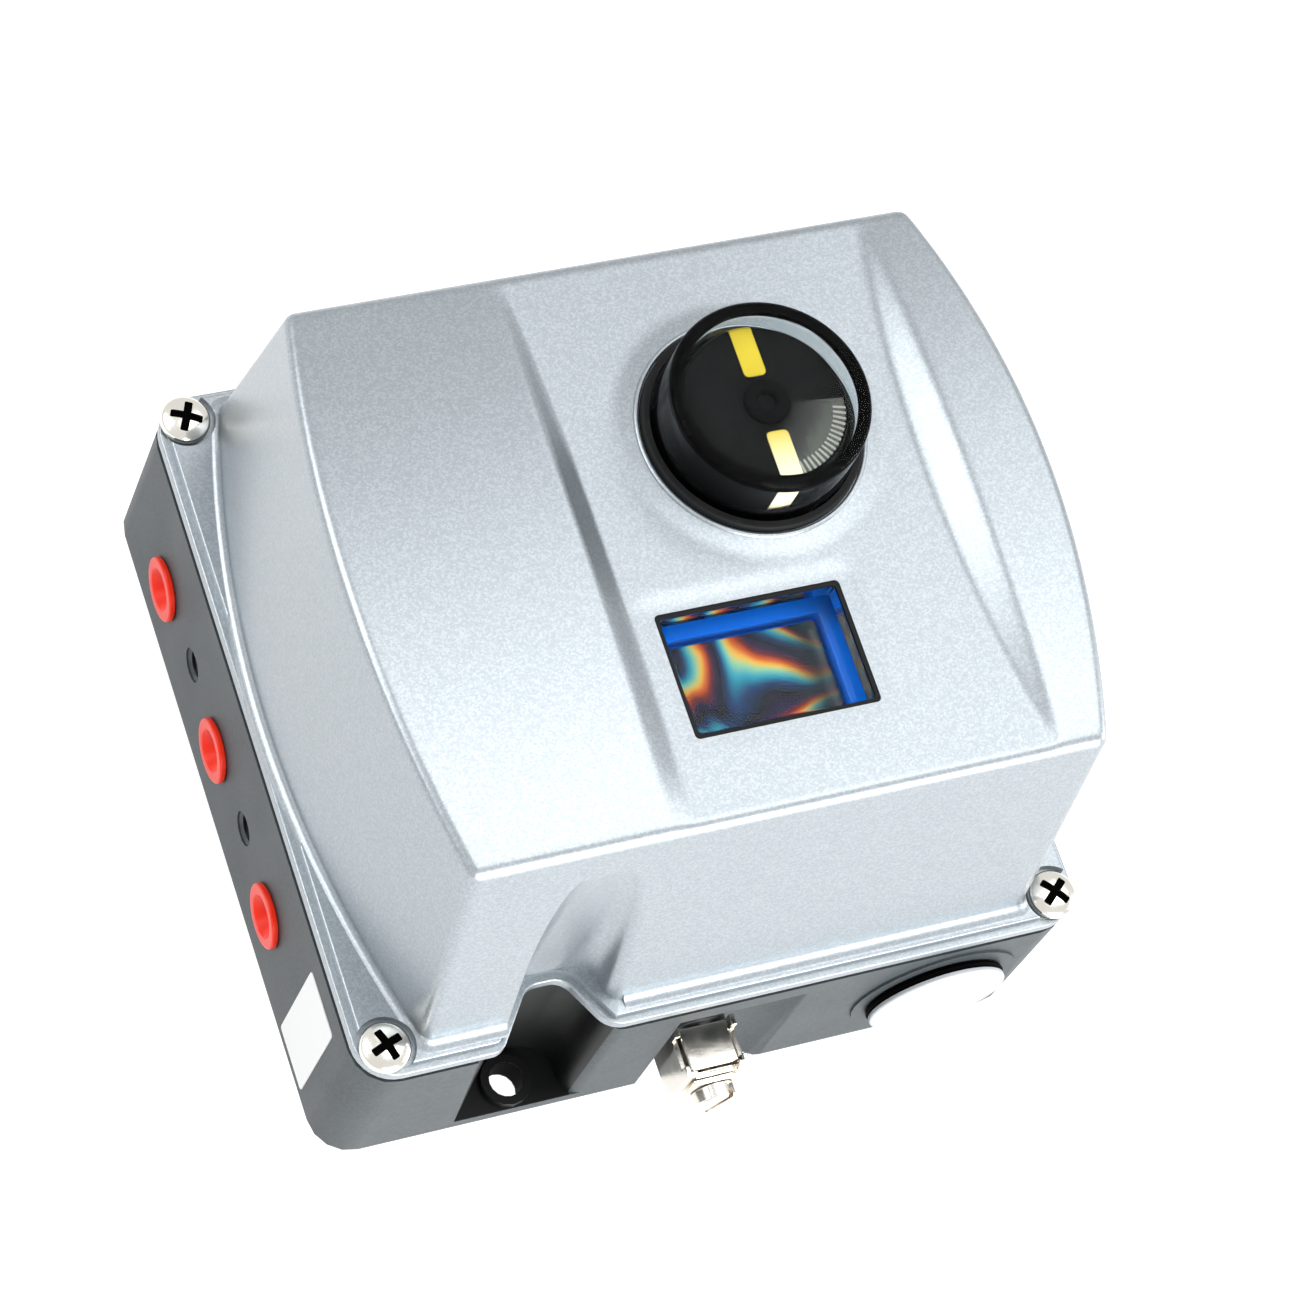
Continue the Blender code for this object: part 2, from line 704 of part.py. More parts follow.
def back_pockets():
    """Shallow pockets that leave a frame, a cross and the shaft's ring as the mounting face."""
    edge_x = HOUSING_WIDTH / 2 - BACK_SIDE_MARGIN
    edge_y = HOUSING_DEPTH / 2 - BACK_END_MARGIN
    return [
        ((-edge_x, -edge_y + BACK_PAD), (-BACK_WEB, -BACK_WEB)),
        ((-edge_x, BACK_WEB), (-BACK_WEB, edge_y)),
        ((BACK_WEB, -edge_y), (edge_x, -BACK_WEB)),
    ]


def make_housing(build):
    tools = build.tools
    shell = plate("housing", [rounded_rectangle(HOUSING_WIDTH / 2, HOUSING_DEPTH / 2, HOUSING_CORNER)],
                  0.0, HOUSING_HEIGHT, build.parts)
    shape = bmesh.new()
    shape.from_mesh(shell.data)
    lower = [e for e in shape.edges if all(v.co.z < GAP for v in e.verts) and len(e.link_faces) == 2
             and any(abs(f.normal.z) < 0.5 for f in e.link_faces)]
    bmesh.ops.bevel(shape, geom=lower, offset=BOTTOM_EDGE, segments=2, profile=0.5, affect="EDGES",
                    material=-1)
    shape.to_mesh(shell.data)
    shape.free()
    pad_low = FRONT - ENTRY_PAD_PROUD
    pad = cylinder("entry_pad", ENTRY_PAD, HOUSING_WALL + ENTRY_PAD_PROUD,
                   (ENTRY_X, pad_low, ENTRY_HEIGHT), "Y", tools, 32)
    join(shell, pad)
    cut(shell, plate("cavity", [cavity_outline()], HOUSING_FLOOR, HOUSING_HEIGHT + CUT_PAST, tools))
    cut(shell, recess_cutter("recess", RECESS_FLOOR, HOUSING_HEIGHT + GAP, tools))
    bolt = (RECESS_X, FRONT + BOLT_SETBACK)
    join(shell, cylinder("bolt_boss", BOLT_BOSS, BOLT_BOSS_HEIGHT + GAP,
                         (*bolt, RECESS_FLOOR - GAP), "Z", tools, 16))
    cut(shell, cylinder("bolt_hole", BOLT_HOLE, 3 * CUT_PAST, (*bolt, -CUT_PAST), "Z", tools, 16))
    cut_earth_pocket(shell, tools)
    join(shell, cylinder("shaft_boss", SHAFT_BOSS, SHAFT_BOSS_HEIGHT - HOUSING_FLOOR + GAP,
                         (SHAFT_X, SHAFT_Y, HOUSING_FLOOR - GAP), "Z", tools, 24))
    cut(shell, cylinder("shaft_bore", SHAFT_RADIUS + SHAFT_RUNNING + BUSH_WALL + GAP, 4 * CUT_PAST,
                        (SHAFT_X, SHAFT_Y, -CUT_PAST), "Z", tools, 24))
    for i, (x, y) in enumerate(board_posts()):
        join(shell, cylinder(f"board_post_{i}", POST_RADIUS, BOARD_HEIGHT - GAP - HOUSING_FLOOR + GAP,
                             (x, y, HOUSING_FLOOR - GAP), "Z", tools, 8))
    for i, (x, y) in enumerate(screw_places()):
        cut(shell, cylinder(f"cover_thread_{i}", SCREW_SHANK + GAP, SCREW_LENGTH + CUT_PAST,
                            (x, y, HOUSING_HEIGHT - SCREW_LENGTH), "Z", tools, 12))
    for name, y in port_places().items():
        cut(shell, cylinder(name + "_bore", PORT_BORE, PORT_DEPTH + CUT_PAST,
                            (PORT_FACE - CUT_PAST, y, PORT_HEIGHT), "X", tools, 24))
    for i in (-1, 1):
        cut(shell, cylinder(f"tapped_{i}", TAPPED_RADIUS, TAPPED_DEPTH + CUT_PAST,
                            (PORT_FACE - CUT_PAST, PORT_MIDDLE_Y + i * PORT_PITCH / 2, TAPPED_HEIGHT),
                            "X", tools, 16))
    cut(shell, cylinder("entry_bore", ENTRY_BORE, ENTRY_WALL + 2 * CUT_PAST,
                        (ENTRY_X, FRONT - CUT_PAST, ENTRY_HEIGHT), "Y", tools, 32))
    for i, (low, high) in enumerate(back_pockets()):
        cut(shell, span(f"back_pocket_{i}", (*low, -CUT_PAST), (*high, BACK_POCKET_DEPTH), tools))
    for i, (x, y) in enumerate(shield_tabs()):
        cut(shell, cylinder(f"shield_thread_{i}", SMALL_SHANK + GAP, SMALL_THREAD_DEPTH + CUT_PAST,
                            (x, y, HOUSING_FLOOR - SMALL_THREAD_DEPTH), "Z", tools, 12))
    for i, (x, y, _) in enumerate(valve_screws()):
        cut(shell, cylinder(f"valve_thread_{i}", VALVE_SCREW_SHANK + GAP, SMALL_THREAD_DEPTH + CUT_PAST,
                            (x, y, HOUSING_FLOOR - SMALL_THREAD_DEPTH), "Z", tools, 12))
    build.finish(shell, "grey_paint")


def pocket_outline():
    """Plan of the earth terminal's pocket: a tight left corner and a long sweep at its right."""
    left = EARTH_X - BRACKET_WIDTH / 2 - POCKET_SIDE
    right = EARTH_X + BRACKET_WIDTH / 2
    sweep = (POCKET_SWEEP ** 2 + POCKET_DEPTH ** 2) / (2 * POCKET_DEPTH)
    turn = math.degrees(math.asin(POCKET_SWEEP / sweep)) + POCKET_OVERRUN
    points = [(left, FRONT - 2 * CUT_PAST)]
    points.extend(arc((left + POCKET_CORNER, POCKET_WALL - POCKET_CORNER), POCKET_CORNER, 180, 90, 4))
    points.extend(arc((right, POCKET_WALL - sweep), sweep, 90, 90 - turn, 8))
    points.append((points[-1][0], FRONT - 2 * CUT_PAST))
    return points


def cut_earth_pocket(shell, tools):
    cut(shell, plate("earth_pocket", [pocket_outline()], -CUT_PAST, POCKET_TOP, tools))
    join(shell, cylinder("earth_boss", EARTH_BOSS, EARTH_BOSS_LENGTH + EARTH_BOSS_ROOT,
                         (EARTH_X, EARTH_FACE, EARTH_HEIGHT), "Y", tools, 16))
    cut(shell, cylinder("earth_thread", EARTH_SCREW_SHANK + GAP, EARTH_THREAD_DEPTH + CUT_PAST,
                        (EARTH_X, EARTH_FACE - CUT_PAST, EARTH_HEIGHT), "Y", tools, 12))


def side_half_width(y, z, inset):
    bow = y * y / (2 * COVER_SIDE_RADIUS)
    return COVER_SIDE_REACH - inset - bow - COVER_SIDE_DRAFT * (z - FLANGE_TOP)


def cover_section(y, inset):
    """One cross-section of the cover at depth y, as points (x, z) from left foot to right."""
    share = 1.0 - (y / COVER_TOP_DEPTH) ** 2
    top = COVER_TOP_HEIGHT + SIDE_PANEL_ARCH * share - inset
    panel = COVER_TOP_HEIGHT + MIDDLE_PANEL_ARCH * share - inset
    inner = FACET_OUTER - FACET_WIDTH_END - (FACET_WIDTH_MIDDLE - FACET_WIDTH_END) * share
    foot_half = side_half_width(y, FLANGE_TOP, inset)
    top_half = side_half_width(y, top, inset)
    return [
        (-foot_half, FLANGE_TOP), (-top_half, top), (MIDDLE_X - FACET_OUTER, top),
        (MIDDLE_X - inner, panel), (MIDDLE_X + inner, panel), (MIDDLE_X + FACET_OUTER, top),
        (top_half, top), (foot_half, FLANGE_TOP),
    ]


def foot_section(y, inset):
    """The last section, where the sloping front or back wall meets the flange."""
    half = side_half_width(y, FLANGE_TOP, inset)
    inner = FACET_OUTER - FACET_WIDTH_END
    xs = [-half, -half, MIDDLE_X - FACET_OUTER, MIDDLE_X - inner,
          MIDDLE_X + inner, MIDDLE_X + FACET_OUTER, half, half]
    return [(x, FLANGE_TOP) for x in xs]


def cover_form(name, inset, bottom, group):
    """The cover's body as a closed loft of sections along Y, standing on height bottom."""
    foot = COVER_FOOT_DEPTH - inset
    top = COVER_TOP_DEPTH - inset
    stations = [-foot]
    stations.extend(-top + 2 * top * i / COVER_STATIONS for i in range(COVER_STATIONS + 1))
    stations.append(foot)
    shape = bmesh.new()
    rows = []
    for y in stations:
        section = foot_section(y, inset) if abs(y) > top + GAP else cover_section(y, inset)
        rows.append([shape.verts.new((x, y, z)) for x, z in section])
    for near, far in zip(rows, rows[1:]):
        for i in range(len(near) - 1):
            shape.faces.new((near[i], far[i], far[i + 1], near[i + 1]))
    bmesh.ops.remove_doubles(shape, verts=shape.verts, dist=MERGE_DISTANCE)
    rim = [e for e in shape.edges if e.is_boundary]
    skirt = bmesh.ops.extrude_edge_only(shape, edges=rim)["geom"]
    for vert in (v for v in skirt if isinstance(v, bmesh.types.BMVert)):
        vert.co.z = bottom
    bmesh.ops.holes_fill(shape, edges=[e for e in shape.edges if e.is_boundary], sides=0)
    return from_bmesh(name, shape, group)


def flange_with_step(name, group):
    half_x = HOUSING_WIDTH / 2
    half_y = HOUSING_DEPTH / 2
    lip = plate(name, [rounded_rectangle(half_x, half_y, HOUSING_CORNER)], FLANGE_BOTTOM,
                FLANGE_BOTTOM + FLANGE_LIP, group)
    step = plate(name + "_step", [rounded_rectangle(half_x - FLANGE_STEP, half_y - FLANGE_STEP,
                                                    HOUSING_CORNER - FLANGE_STEP)],
                 FLANGE_BOTTOM + GAP, FLANGE_TOP, group)
    return lip, step


def cover_hollow(build):
    """The space inside the cover, less a jacket that keeps the scoop closed."""
    hollow = cover_form("cover_hollow", COVER_WALL, FLANGE_BOTTOM - COVER_WALL, build.tools)
    notch = plate("notch_jacket", [recess_outline(COVER_WALL)], FLANGE_BOTTOM - CUT_PAST,
                  FLANGE_TOP + COVER_WALL, build.tools)
    scoop = plate("scoop_jacket", [scoop_outline(COVER_WALL)], FLANGE_BOTTOM - CUT_PAST,
                  COVER_TOP_HEIGHT + CUT_PAST, build.tools)
    return cut(hollow, notch, scoop)


def make_cover(build):
    tools = build.tools
    cover = cover_form("cover", 0.0, FLANGE_TOP - FLANGE_OVERLAP, build.parts)
    round_edges(cover, COVER_EDGE, 2, 14)
    lip, step = flange_with_step("flange", tools)
    join(cover, step, lip)
    cut(cover, cover_hollow(build))
    cut(cover, plate("notch", [recess_outline()], FLANGE_BOTTOM - CUT_PAST, FLANGE_TOP + GAP, tools))
    cut(cover, plate("scoop", [scoop_outline()], FLANGE_TOP, COVER_TOP_HEIGHT + 2 * CUT_PAST, tools))
    for i, (x, y) in enumerate(screw_places()):
        cut(cover, cylinder(f"screw_seat_{i}", SCREW_HEAD + SCREW_SEAT_MARGIN, COVER_TOP_HEIGHT - FLANGE_TOP,
                            (x, y, FLANGE_TOP - SCREW_SEAT), "Z", tools, 16))
        cut(cover, cylinder(f"screw_way_{i}", SCREW_SHANK + GAP, 2 * CUT_PAST,
                            (x, y, FLANGE_BOTTOM - CUT_PAST), "Z", tools, 12))
    half_x = WINDOW_WIDTH / 2
    half_y = WINDOW_DEPTH / 2
    pocket = plate("window_pocket", [rounded_rectangle(half_x + WINDOW_POCKET_MARGIN,
                                                       half_y + WINDOW_POCKET_MARGIN, WINDOW_POCKET_CORNER,
                                                       (WINDOW_X, WINDOW_Y))],
                   COVER_TOP_HEIGHT - WINDOW_POCKET_DEPTH, COVER_TOP_HEIGHT + CUT_PAST, tools)
    centre = (WINDOW_X, WINDOW_Y)
    opening = plate("window_opening", [rounded_rectangle(half_x, half_y, WINDOW_CORNER, centre)],
                    COVER_TOP_HEIGHT - 2 * CUT_PAST, COVER_TOP_HEIGHT + CUT_PAST, tools)
    cut(cover, pocket, opening)
    cut(cover, cylinder("dome_opening", DOME_RADIUS + DOME_SEAL_LIP + GAP, 2 * CUT_PAST,
                        (SHAFT_X, SHAFT_Y, DOME_BASE - CUT_PAST), "Z", tools, 32))
    build.finish(cover, "silver_paint", "cover", 20)


def make_gasket(build):
    low = HOUSING_HEIGHT + GAP
    high = low + GASKET_THICKNESS
    half_x = HOUSING_WIDTH / 2 - GASKET_INSET
    half_y = HOUSING_DEPTH / 2 - GASKET_INSET
    outer = rounded_rectangle(half_x, half_y, HOUSING_CORNER - GASKET_INSET)
    gasket = plate("cover_gasket", [outer], low, high, build.parts)
    inside = cover_form("gasket_inside", COVER_WALL - GASKET_LAP, low - GASKET_THICKNESS, build.tools)
    collar = plate("gasket_collar", [recess_outline(GASKET_COLLAR)], low - CUT_PAST,
                   FLANGE_TOP, build.tools)
    cut(gasket, cut(inside, collar))
    cut(gasket, plate("gasket_notch", [recess_outline(GASKET_INSET)], low - CUT_PAST, high + CUT_PAST,
                      build.tools))
    for i, (x, y) in enumerate(screw_places()):
        cut(gasket, cylinder(f"gasket_hole_{i}", SCREW_SHANK + GAP, 2 * CUT_PAST, (x, y, low - CUT_PAST), "Z",
                             build.tools, 12))
    build.finish(gasket, "rubber")


def make_cover_screws(build):
    seat = FLANGE_TOP - SCREW_SEAT + GAP
    top = seat + SCREW_HEAD_HEIGHT
    profile = [(SCREW_HEAD * out, top - SCREW_HEAD_HEIGHT * drop) for out, drop in SCREW_CROWN]
    profile += [(SCREW_HEAD, seat), (SCREW_SHANK, seat), (SCREW_SHANK, seat - SCREW_LENGTH + SCREW_SHANK),
                (SCREW_SHANK / 2, seat - SCREW_LENGTH), (0.0, seat - SCREW_LENGTH)]
    for i, (x, y) in enumerate(screw_places(), 1):
        name = f"cover_screw_{i}"
        screw = turned(name, profile, (x, y, 0), build.parts, steps=12)
        for axis in (0, 1):
            size = [CROSS_WIDTH, CROSS_WIDTH, CUT_PAST]
            size[axis] = CROSS_LENGTH
            middle = (x, y, top - CROSS_DEPTH + CUT_PAST / 2)
            cut(screw, box(f"{name}_cross_{axis}", size, middle, build.tools))
        build.finish(screw, "nickel", "cover")


def make_port_plugs(build):
    tools = build.tools
    outer = PORT_FACE - GAP - PLUG_FLANGE_THICKNESS
    for name, y in port_places().items():
        plug = cylinder(name, PLUG_FLANGE, PLUG_FLANGE_THICKNESS, (outer, y, PORT_HEIGHT), "X",
                        build.parts, 24)
        join(plug, cylinder(name + "_shank", PORT_BORE - GAP, PLUG_LENGTH - GAP,
                            (outer + GAP, y, PORT_HEIGHT), "X", tools, 24))
        cut(plug, cylinder(name + "_dish", PLUG_DISH, PLUG_DISH_DEPTH + CUT_PAST,
                           (outer - CUT_PAST, y, PORT_HEIGHT), "X", tools, 16, PLUG_DISH_FLOOR))
        cut(plug, span(name + "_slot",
                       (outer, y - PLUG_SLOT_WIDTH / 2, PORT_HEIGHT - PLUG_SLOT_LENGTH / 2),
                       (outer + PLUG_DISH_DEPTH + PLUG_SLOT_DEPTH, y + PLUG_SLOT_WIDTH / 2,
                        PORT_HEIGHT + PLUG_SLOT_LENGTH / 2), tools))
        build.finish(plug, "red_plastic")


def make_cable_plug(build):
    face = FRONT - ENTRY_PAD_PROUD - GAP
    centre = (ENTRY_X, ENTRY_HEIGHT)
    seal = cylinder("cable_plug_seal", CAP_RADIUS + CAP_SEAL_PROUD, CAP_SEAL_THICKNESS,
                    (centre[0], face - CAP_SEAL_THICKNESS, centre[1]), "Y", build.parts, 32)
    cut(seal, cylinder("cable_seal_hole", ENTRY_BORE + GAP, 2 * CUT_PAST,
                       (centre[0], face - CUT_PAST, centre[1]), "Y", build.tools, 32))
    build.finish(seal, "rubber")
    cap_back = face - CAP_SEAL_THICKNESS - GAP
    cap = cylinder("cable_plug", CAP_RADIUS, CAP_THICKNESS,
                   (centre[0], cap_back - CAP_THICKNESS, centre[1]), "Y", build.parts, 32)
    shank_end = FRONT + CAP_SHANK_LENGTH
    join(cap, cylinder("cable_plug_shank", ENTRY_BORE - GAP, shank_end - cap_back + GAP,
                       (centre[0], cap_back - GAP, centre[1]), "Y", build.tools, 32))
    cut(cap, cylinder("cable_plug_hollow", ENTRY_BORE - GAP - CAP_SHANK_WALL, 2 * CUT_PAST,
                      (centre[0], cap_back + GAP, centre[1]), "Y", build.tools, 16))
    build.finish(cap, "white_plastic")


def make_earth_terminal(build):
    tools = build.tools
    back = EARTH_FACE - GAP
    front = back - BRACKET_LENGTH
    half = BRACKET_WIDTH / 2
    low = EARTH_HEIGHT - BRACKET_HEIGHT / 2
    high = low + BRACKET_HEIGHT
    bracket = span("earth_bracket", (EARTH_X - half, front, low), (EARTH_X + half, back, high),
                   build.parts)
    shape = bmesh.new()
    shape.from_mesh(bracket.data)
    keel = [e for e in shape.edges if all(v.co.z < low + GAP and v.co.y < front + GAP for v in e.verts)]
    bmesh.ops.bevel(shape, geom=keel, offset=BRACKET_KEEL, segments=5, profile=0.5,
                    affect="EDGES", material=-1)
    shape.to_mesh(bracket.data)
    shape.free()
    inside = half - BRACKET_SHEET
    cut(bracket, span("bracket_inside", (EARTH_X - inside, front + BRACKET_SHEET, low - CUT_PAST),
                      (EARTH_X + inside, back + CUT_PAST, high + CUT_PAST), tools))
    shoulder = high - BRACKET_NOTCH
    cut(bracket, span("bracket_notch", (EARTH_X - BRACKET_WIDTH, front + BRACKET_NOTCH, shoulder),
                      (EARTH_X + BRACKET_WIDTH, back - BRACKET_NOTCH, high + CUT_PAST), tools))
    brow = inside - BRACKET_SHEET
    cut(bracket, span("bracket_brow", (EARTH_X - brow, front - CUT_PAST, shoulder),
                      (EARTH_X + brow, front + BRACKET_NOTCH, high + CUT_PAST), tools))
    hole = EARTH_SCREW_SHANK + GAP
    cut(bracket, cylinder("bracket_hole", hole, CUT_PAST, (EARTH_X, front - CUT_PAST / 2, EARTH_HEIGHT),
                          "Y", tools, 12))
    build.finish(bracket, "nickel")
    clamp_front = front + BRACKET_SHEET + GAP
    clamp_half = CLAMP_WIDTH / 2
    clamp = span("earth_clamp", (EARTH_X - clamp_half, clamp_front, EARTH_HEIGHT - clamp_half),
                 (EARTH_X + clamp_half, clamp_front + CLAMP_LENGTH, high - BRACKET_NOTCH + BRACKET_SHEET),
                 build.parts)
    cut(clamp, span("clamp_inside", (EARTH_X - clamp_half + CLAMP_SHEET, clamp_front + CLAMP_SHEET, 0.0),
                    (EARTH_X + clamp_half - CLAMP_SHEET, clamp_front + CLAMP_LENGTH + CUT_PAST,
                     high - BRACKET_NOTCH + BRACKET_SHEET - CLAMP_SHEET), tools))
    cut(clamp, cylinder("clamp_hole", hole, CUT_PAST, (EARTH_X, clamp_front - CUT_PAST / 2, EARTH_HEIGHT),
                        "Y", tools, 12))
    build.finish(clamp, "nickel")
    washer_back = front - GAP
    washer = box("earth_washer", (EARTH_WASHER, EARTH_WASHER_THICKNESS, EARTH_WASHER),
                 (EARTH_X, washer_back - EARTH_WASHER_THICKNESS / 2, EARTH_HEIGHT), build.parts)
    cut(washer, cylinder("washer_hole", hole, CUT_PAST,
                         (EARTH_X, washer_back - CUT_PAST / 2, EARTH_HEIGHT), "Y", tools, 12))
    build.finish(washer, "nickel")
    make_earth_screw(build, washer_back - EARTH_WASHER_THICKNESS - GAP)


def make_earth_screw(build, seat):
    length = EARTH_FACE + EARTH_THREAD_DEPTH - GAP - seat
    screw = cylinder("earth_screw", EARTH_SCREW_HEAD, EARTH_SCREW_HEAD_HEIGHT,
                     (EARTH_X, seat - EARTH_SCREW_HEAD_HEIGHT, EARTH_HEIGHT), "Y", build.parts, 24)
    join(screw, cylinder("earth_screw_shank", EARTH_SCREW_SHANK, length + GAP,
                         (EARTH_X, seat - GAP, EARTH_HEIGHT), "Y", build.tools, 12))
    cut(screw, box("earth_screw_slot", (EARTH_SLOT_WIDTH, EARTH_SLOT_DEPTH * 2, 2 * CUT_PAST),
                   (EARTH_X, seat - EARTH_SCREW_HEAD_HEIGHT, EARTH_HEIGHT), build.tools))
    build.finish(screw, "nickel")


def ring(name, inner, outer, low, high, build, colour, carrier=None, steps=24, place=(SHAFT_X, SHAFT_Y)):
    profile = [(outer, high), (outer, low), (inner, low), (inner, high)]
    piece = turned(name, profile, (*place, 0), build.parts, steps=steps, closed=True)
    return build.finish(piece, colour, carrier)


def make_shaft(build):
    """Feedback shaft with its flat below the housing and the pointer's neck on top."""
    low = -SHAFT_BELOW
    neck = SHAFT_TOP - SHAFT_NECK_LENGTH
    profile = [(0.0, SHAFT_TOP), (SHAFT_NECK, SHAFT_TOP), (SHAFT_NECK, neck), (SHAFT_RADIUS, neck),
               (SHAFT_RADIUS, low + SHAFT_EDGE), (SHAFT_RADIUS - SHAFT_EDGE, low), (0.0, low)]
    shaft = turned("feedback_shaft", profile, (SHAFT_X, SHAFT_Y, 0), build.parts)
    flat = SHAFT_X + SHAFT_RADIUS - SHAFT_FLAT
    cut(shaft, span("shaft_flat", (flat, SHAFT_Y - CUT_PAST, low - CUT_PAST),
                    (flat + CUT_PAST, SHAFT_Y + CUT_PAST, low + SHAFT_FLAT_LENGTH), build.tools))
    build.finish(shaft, "steel", "shaft")
    bore = SHAFT_RADIUS + SHAFT_RUNNING
    outer = bore + BUSH_WALL
    bush_low = SEAL_LENGTH + 2 * GAP
    ring("shaft_seal", bore, outer, GAP, GAP + SEAL_LENGTH, build, "rubber")
    ring("shaft_bush_lower", bore, outer, bush_low, bush_low + BUSH_LENGTH, build, "bronze")
    sensor_low = SHAFT_BOSS_HEIGHT + GAP
    sensor_high = sensor_low + SENSOR_HEIGHT
    make_sensor(build, sensor_low, sensor_high)
    middle = (sensor_low + sensor_high - BUSH_WALL) / 2
    ring("sensor_magnet", SHAFT_RADIUS + SHAFT_RUNNING, MAGNET_RADIUS, middle - MAGNET_HEIGHT / 2,
         middle + MAGNET_HEIGHT / 2, build, "steel", "shaft")
    top = SHIELD_TOP - SHIELD_WALL - 2 * GAP
    ring("shaft_bush_upper", bore, outer, top - BUSH_LENGTH, top, build, "bronze")


def make_sensor(build, low, high):
    """Round position sensor that stands on the shaft's boss around the magnet."""
    lid = BUSH_WALL
    hole = SHAFT_RADIUS + SHAFT_CLEARANCE
    profile = [(SENSOR_RADIUS, high), (SENSOR_RADIUS, low), (SENSOR_BORE - SENSOR_FOOT, low),
               (SENSOR_BORE - SENSOR_FOOT, low + GAP), (SENSOR_BORE, low + GAP), (SENSOR_BORE, high - lid),
               (hole, high - lid), (hole, high)]
    sensor = turned("position_sensor", profile, (SHAFT_X, SHAFT_Y, 0), build.parts, closed=True)
    side = SHAFT_X + SENSOR_RADIUS
    plug = span("sensor_connector",
                (side - CONNECTOR_ROOT, SHAFT_Y - CONNECTOR_WIDTH / 2, low + CONNECTOR_FOOT),
                (side + CONNECTOR_REACH, SHAFT_Y + CONNECTOR_WIDTH / 2, high - lid), build.tools)
    join(sensor, plug)
    build.finish(sensor, "black_plastic")


def make_pointer(build):
    low = DRUM_TOP - DRUM_HEIGHT
    bore = SHAFT_NECK + SHAFT_RUNNING
    boss = bore + DRUM_BOSS_WALL
    roof = DRUM_TOP - DRUM_ROOF
    profile = [(bore, DRUM_TOP), (DRUM_RADIUS - DRUM_EDGE, DRUM_TOP), (DRUM_RADIUS, DRUM_TOP - DRUM_EDGE),
               (DRUM_RADIUS, low), (DRUM_RADIUS - DRUM_WALL, low), (DRUM_RADIUS - DRUM_WALL, roof),
               (boss, roof), (boss, SHAFT_TOP - SHAFT_NECK_LENGTH + GAP),
               (bore, SHAFT_TOP - SHAFT_NECK_LENGTH + GAP)]
    drum = turned("pointer_drum", profile, (SHAFT_X, SHAFT_Y, 0), build.parts, steps=24, closed=True)
    depth = STRIPE_THICKNESS + GAP
    for side in (-1, 1):
        groove_top = stripe_span(side, STRIPE_START - GAP, DRUM_RADIUS + CUT_PAST, DRUM_TOP - depth,
                                 DRUM_TOP + CUT_PAST, GAP)
        groove_side = stripe_span(side, DRUM_RADIUS - depth - STRIPE_SINK, DRUM_RADIUS + CUT_PAST,
                                  low - CUT_PAST, DRUM_TOP + CUT_PAST, GAP)
        cut(drum, span(f"groove_top_{side}", *groove_top, build.tools))
        cut(drum, span(f"groove_side_{side}", *groove_side, build.tools))
    build.finish(drum, "black_plastic", "shaft")
    for name, side in (("pointer_stripe_back", 1), ("pointer_stripe_front", -1)):
        top = stripe_span(side, STRIPE_START, DRUM_RADIUS - STRIPE_SINK, DRUM_TOP - STRIPE_THICKNESS,
                          DRUM_TOP, 0.0)
        leg = stripe_span(side, DRUM_RADIUS - STRIPE_THICKNESS - STRIPE_SINK, DRUM_RADIUS - STRIPE_SINK,
                          low, DRUM_TOP - GAP, 0.0)
        stripe = span(name, *top, build.parts)
        join(stripe, span(name + "_leg", *leg, build.tools))
        build.finish(stripe, "yellow_plastic", "shaft")
    hub_low = DRUM_TOP + GAP
    profile = [(0.0, hub_low + HUB_HEIGHT), (HUB_RADIUS - HUB_EDGE, hub_low + HUB_HEIGHT),
               (HUB_RADIUS, hub_low + HUB_HEIGHT - HUB_EDGE), (HUB_RADIUS, hub_low),
               (SHAFT_NECK - GAP, hub_low), (SHAFT_NECK - GAP, SHAFT_TOP + GAP), (0.0, SHAFT_TOP + GAP)]
    hub = turned("pointer_screw", profile, (SHAFT_X, SHAFT_Y, 0), build.parts, steps=16)
    build.finish(hub, "black_plastic", "shaft")


def stripe_span(side, near, far, low, high, grow):
    half = STRIPE_WIDTH / 2 + grow
    ys = sorted((SHAFT_Y + side * near, SHAFT_Y + side * far))
    return (SHAFT_X - half, ys[0], low), (SHAFT_X + half, ys[1], high)


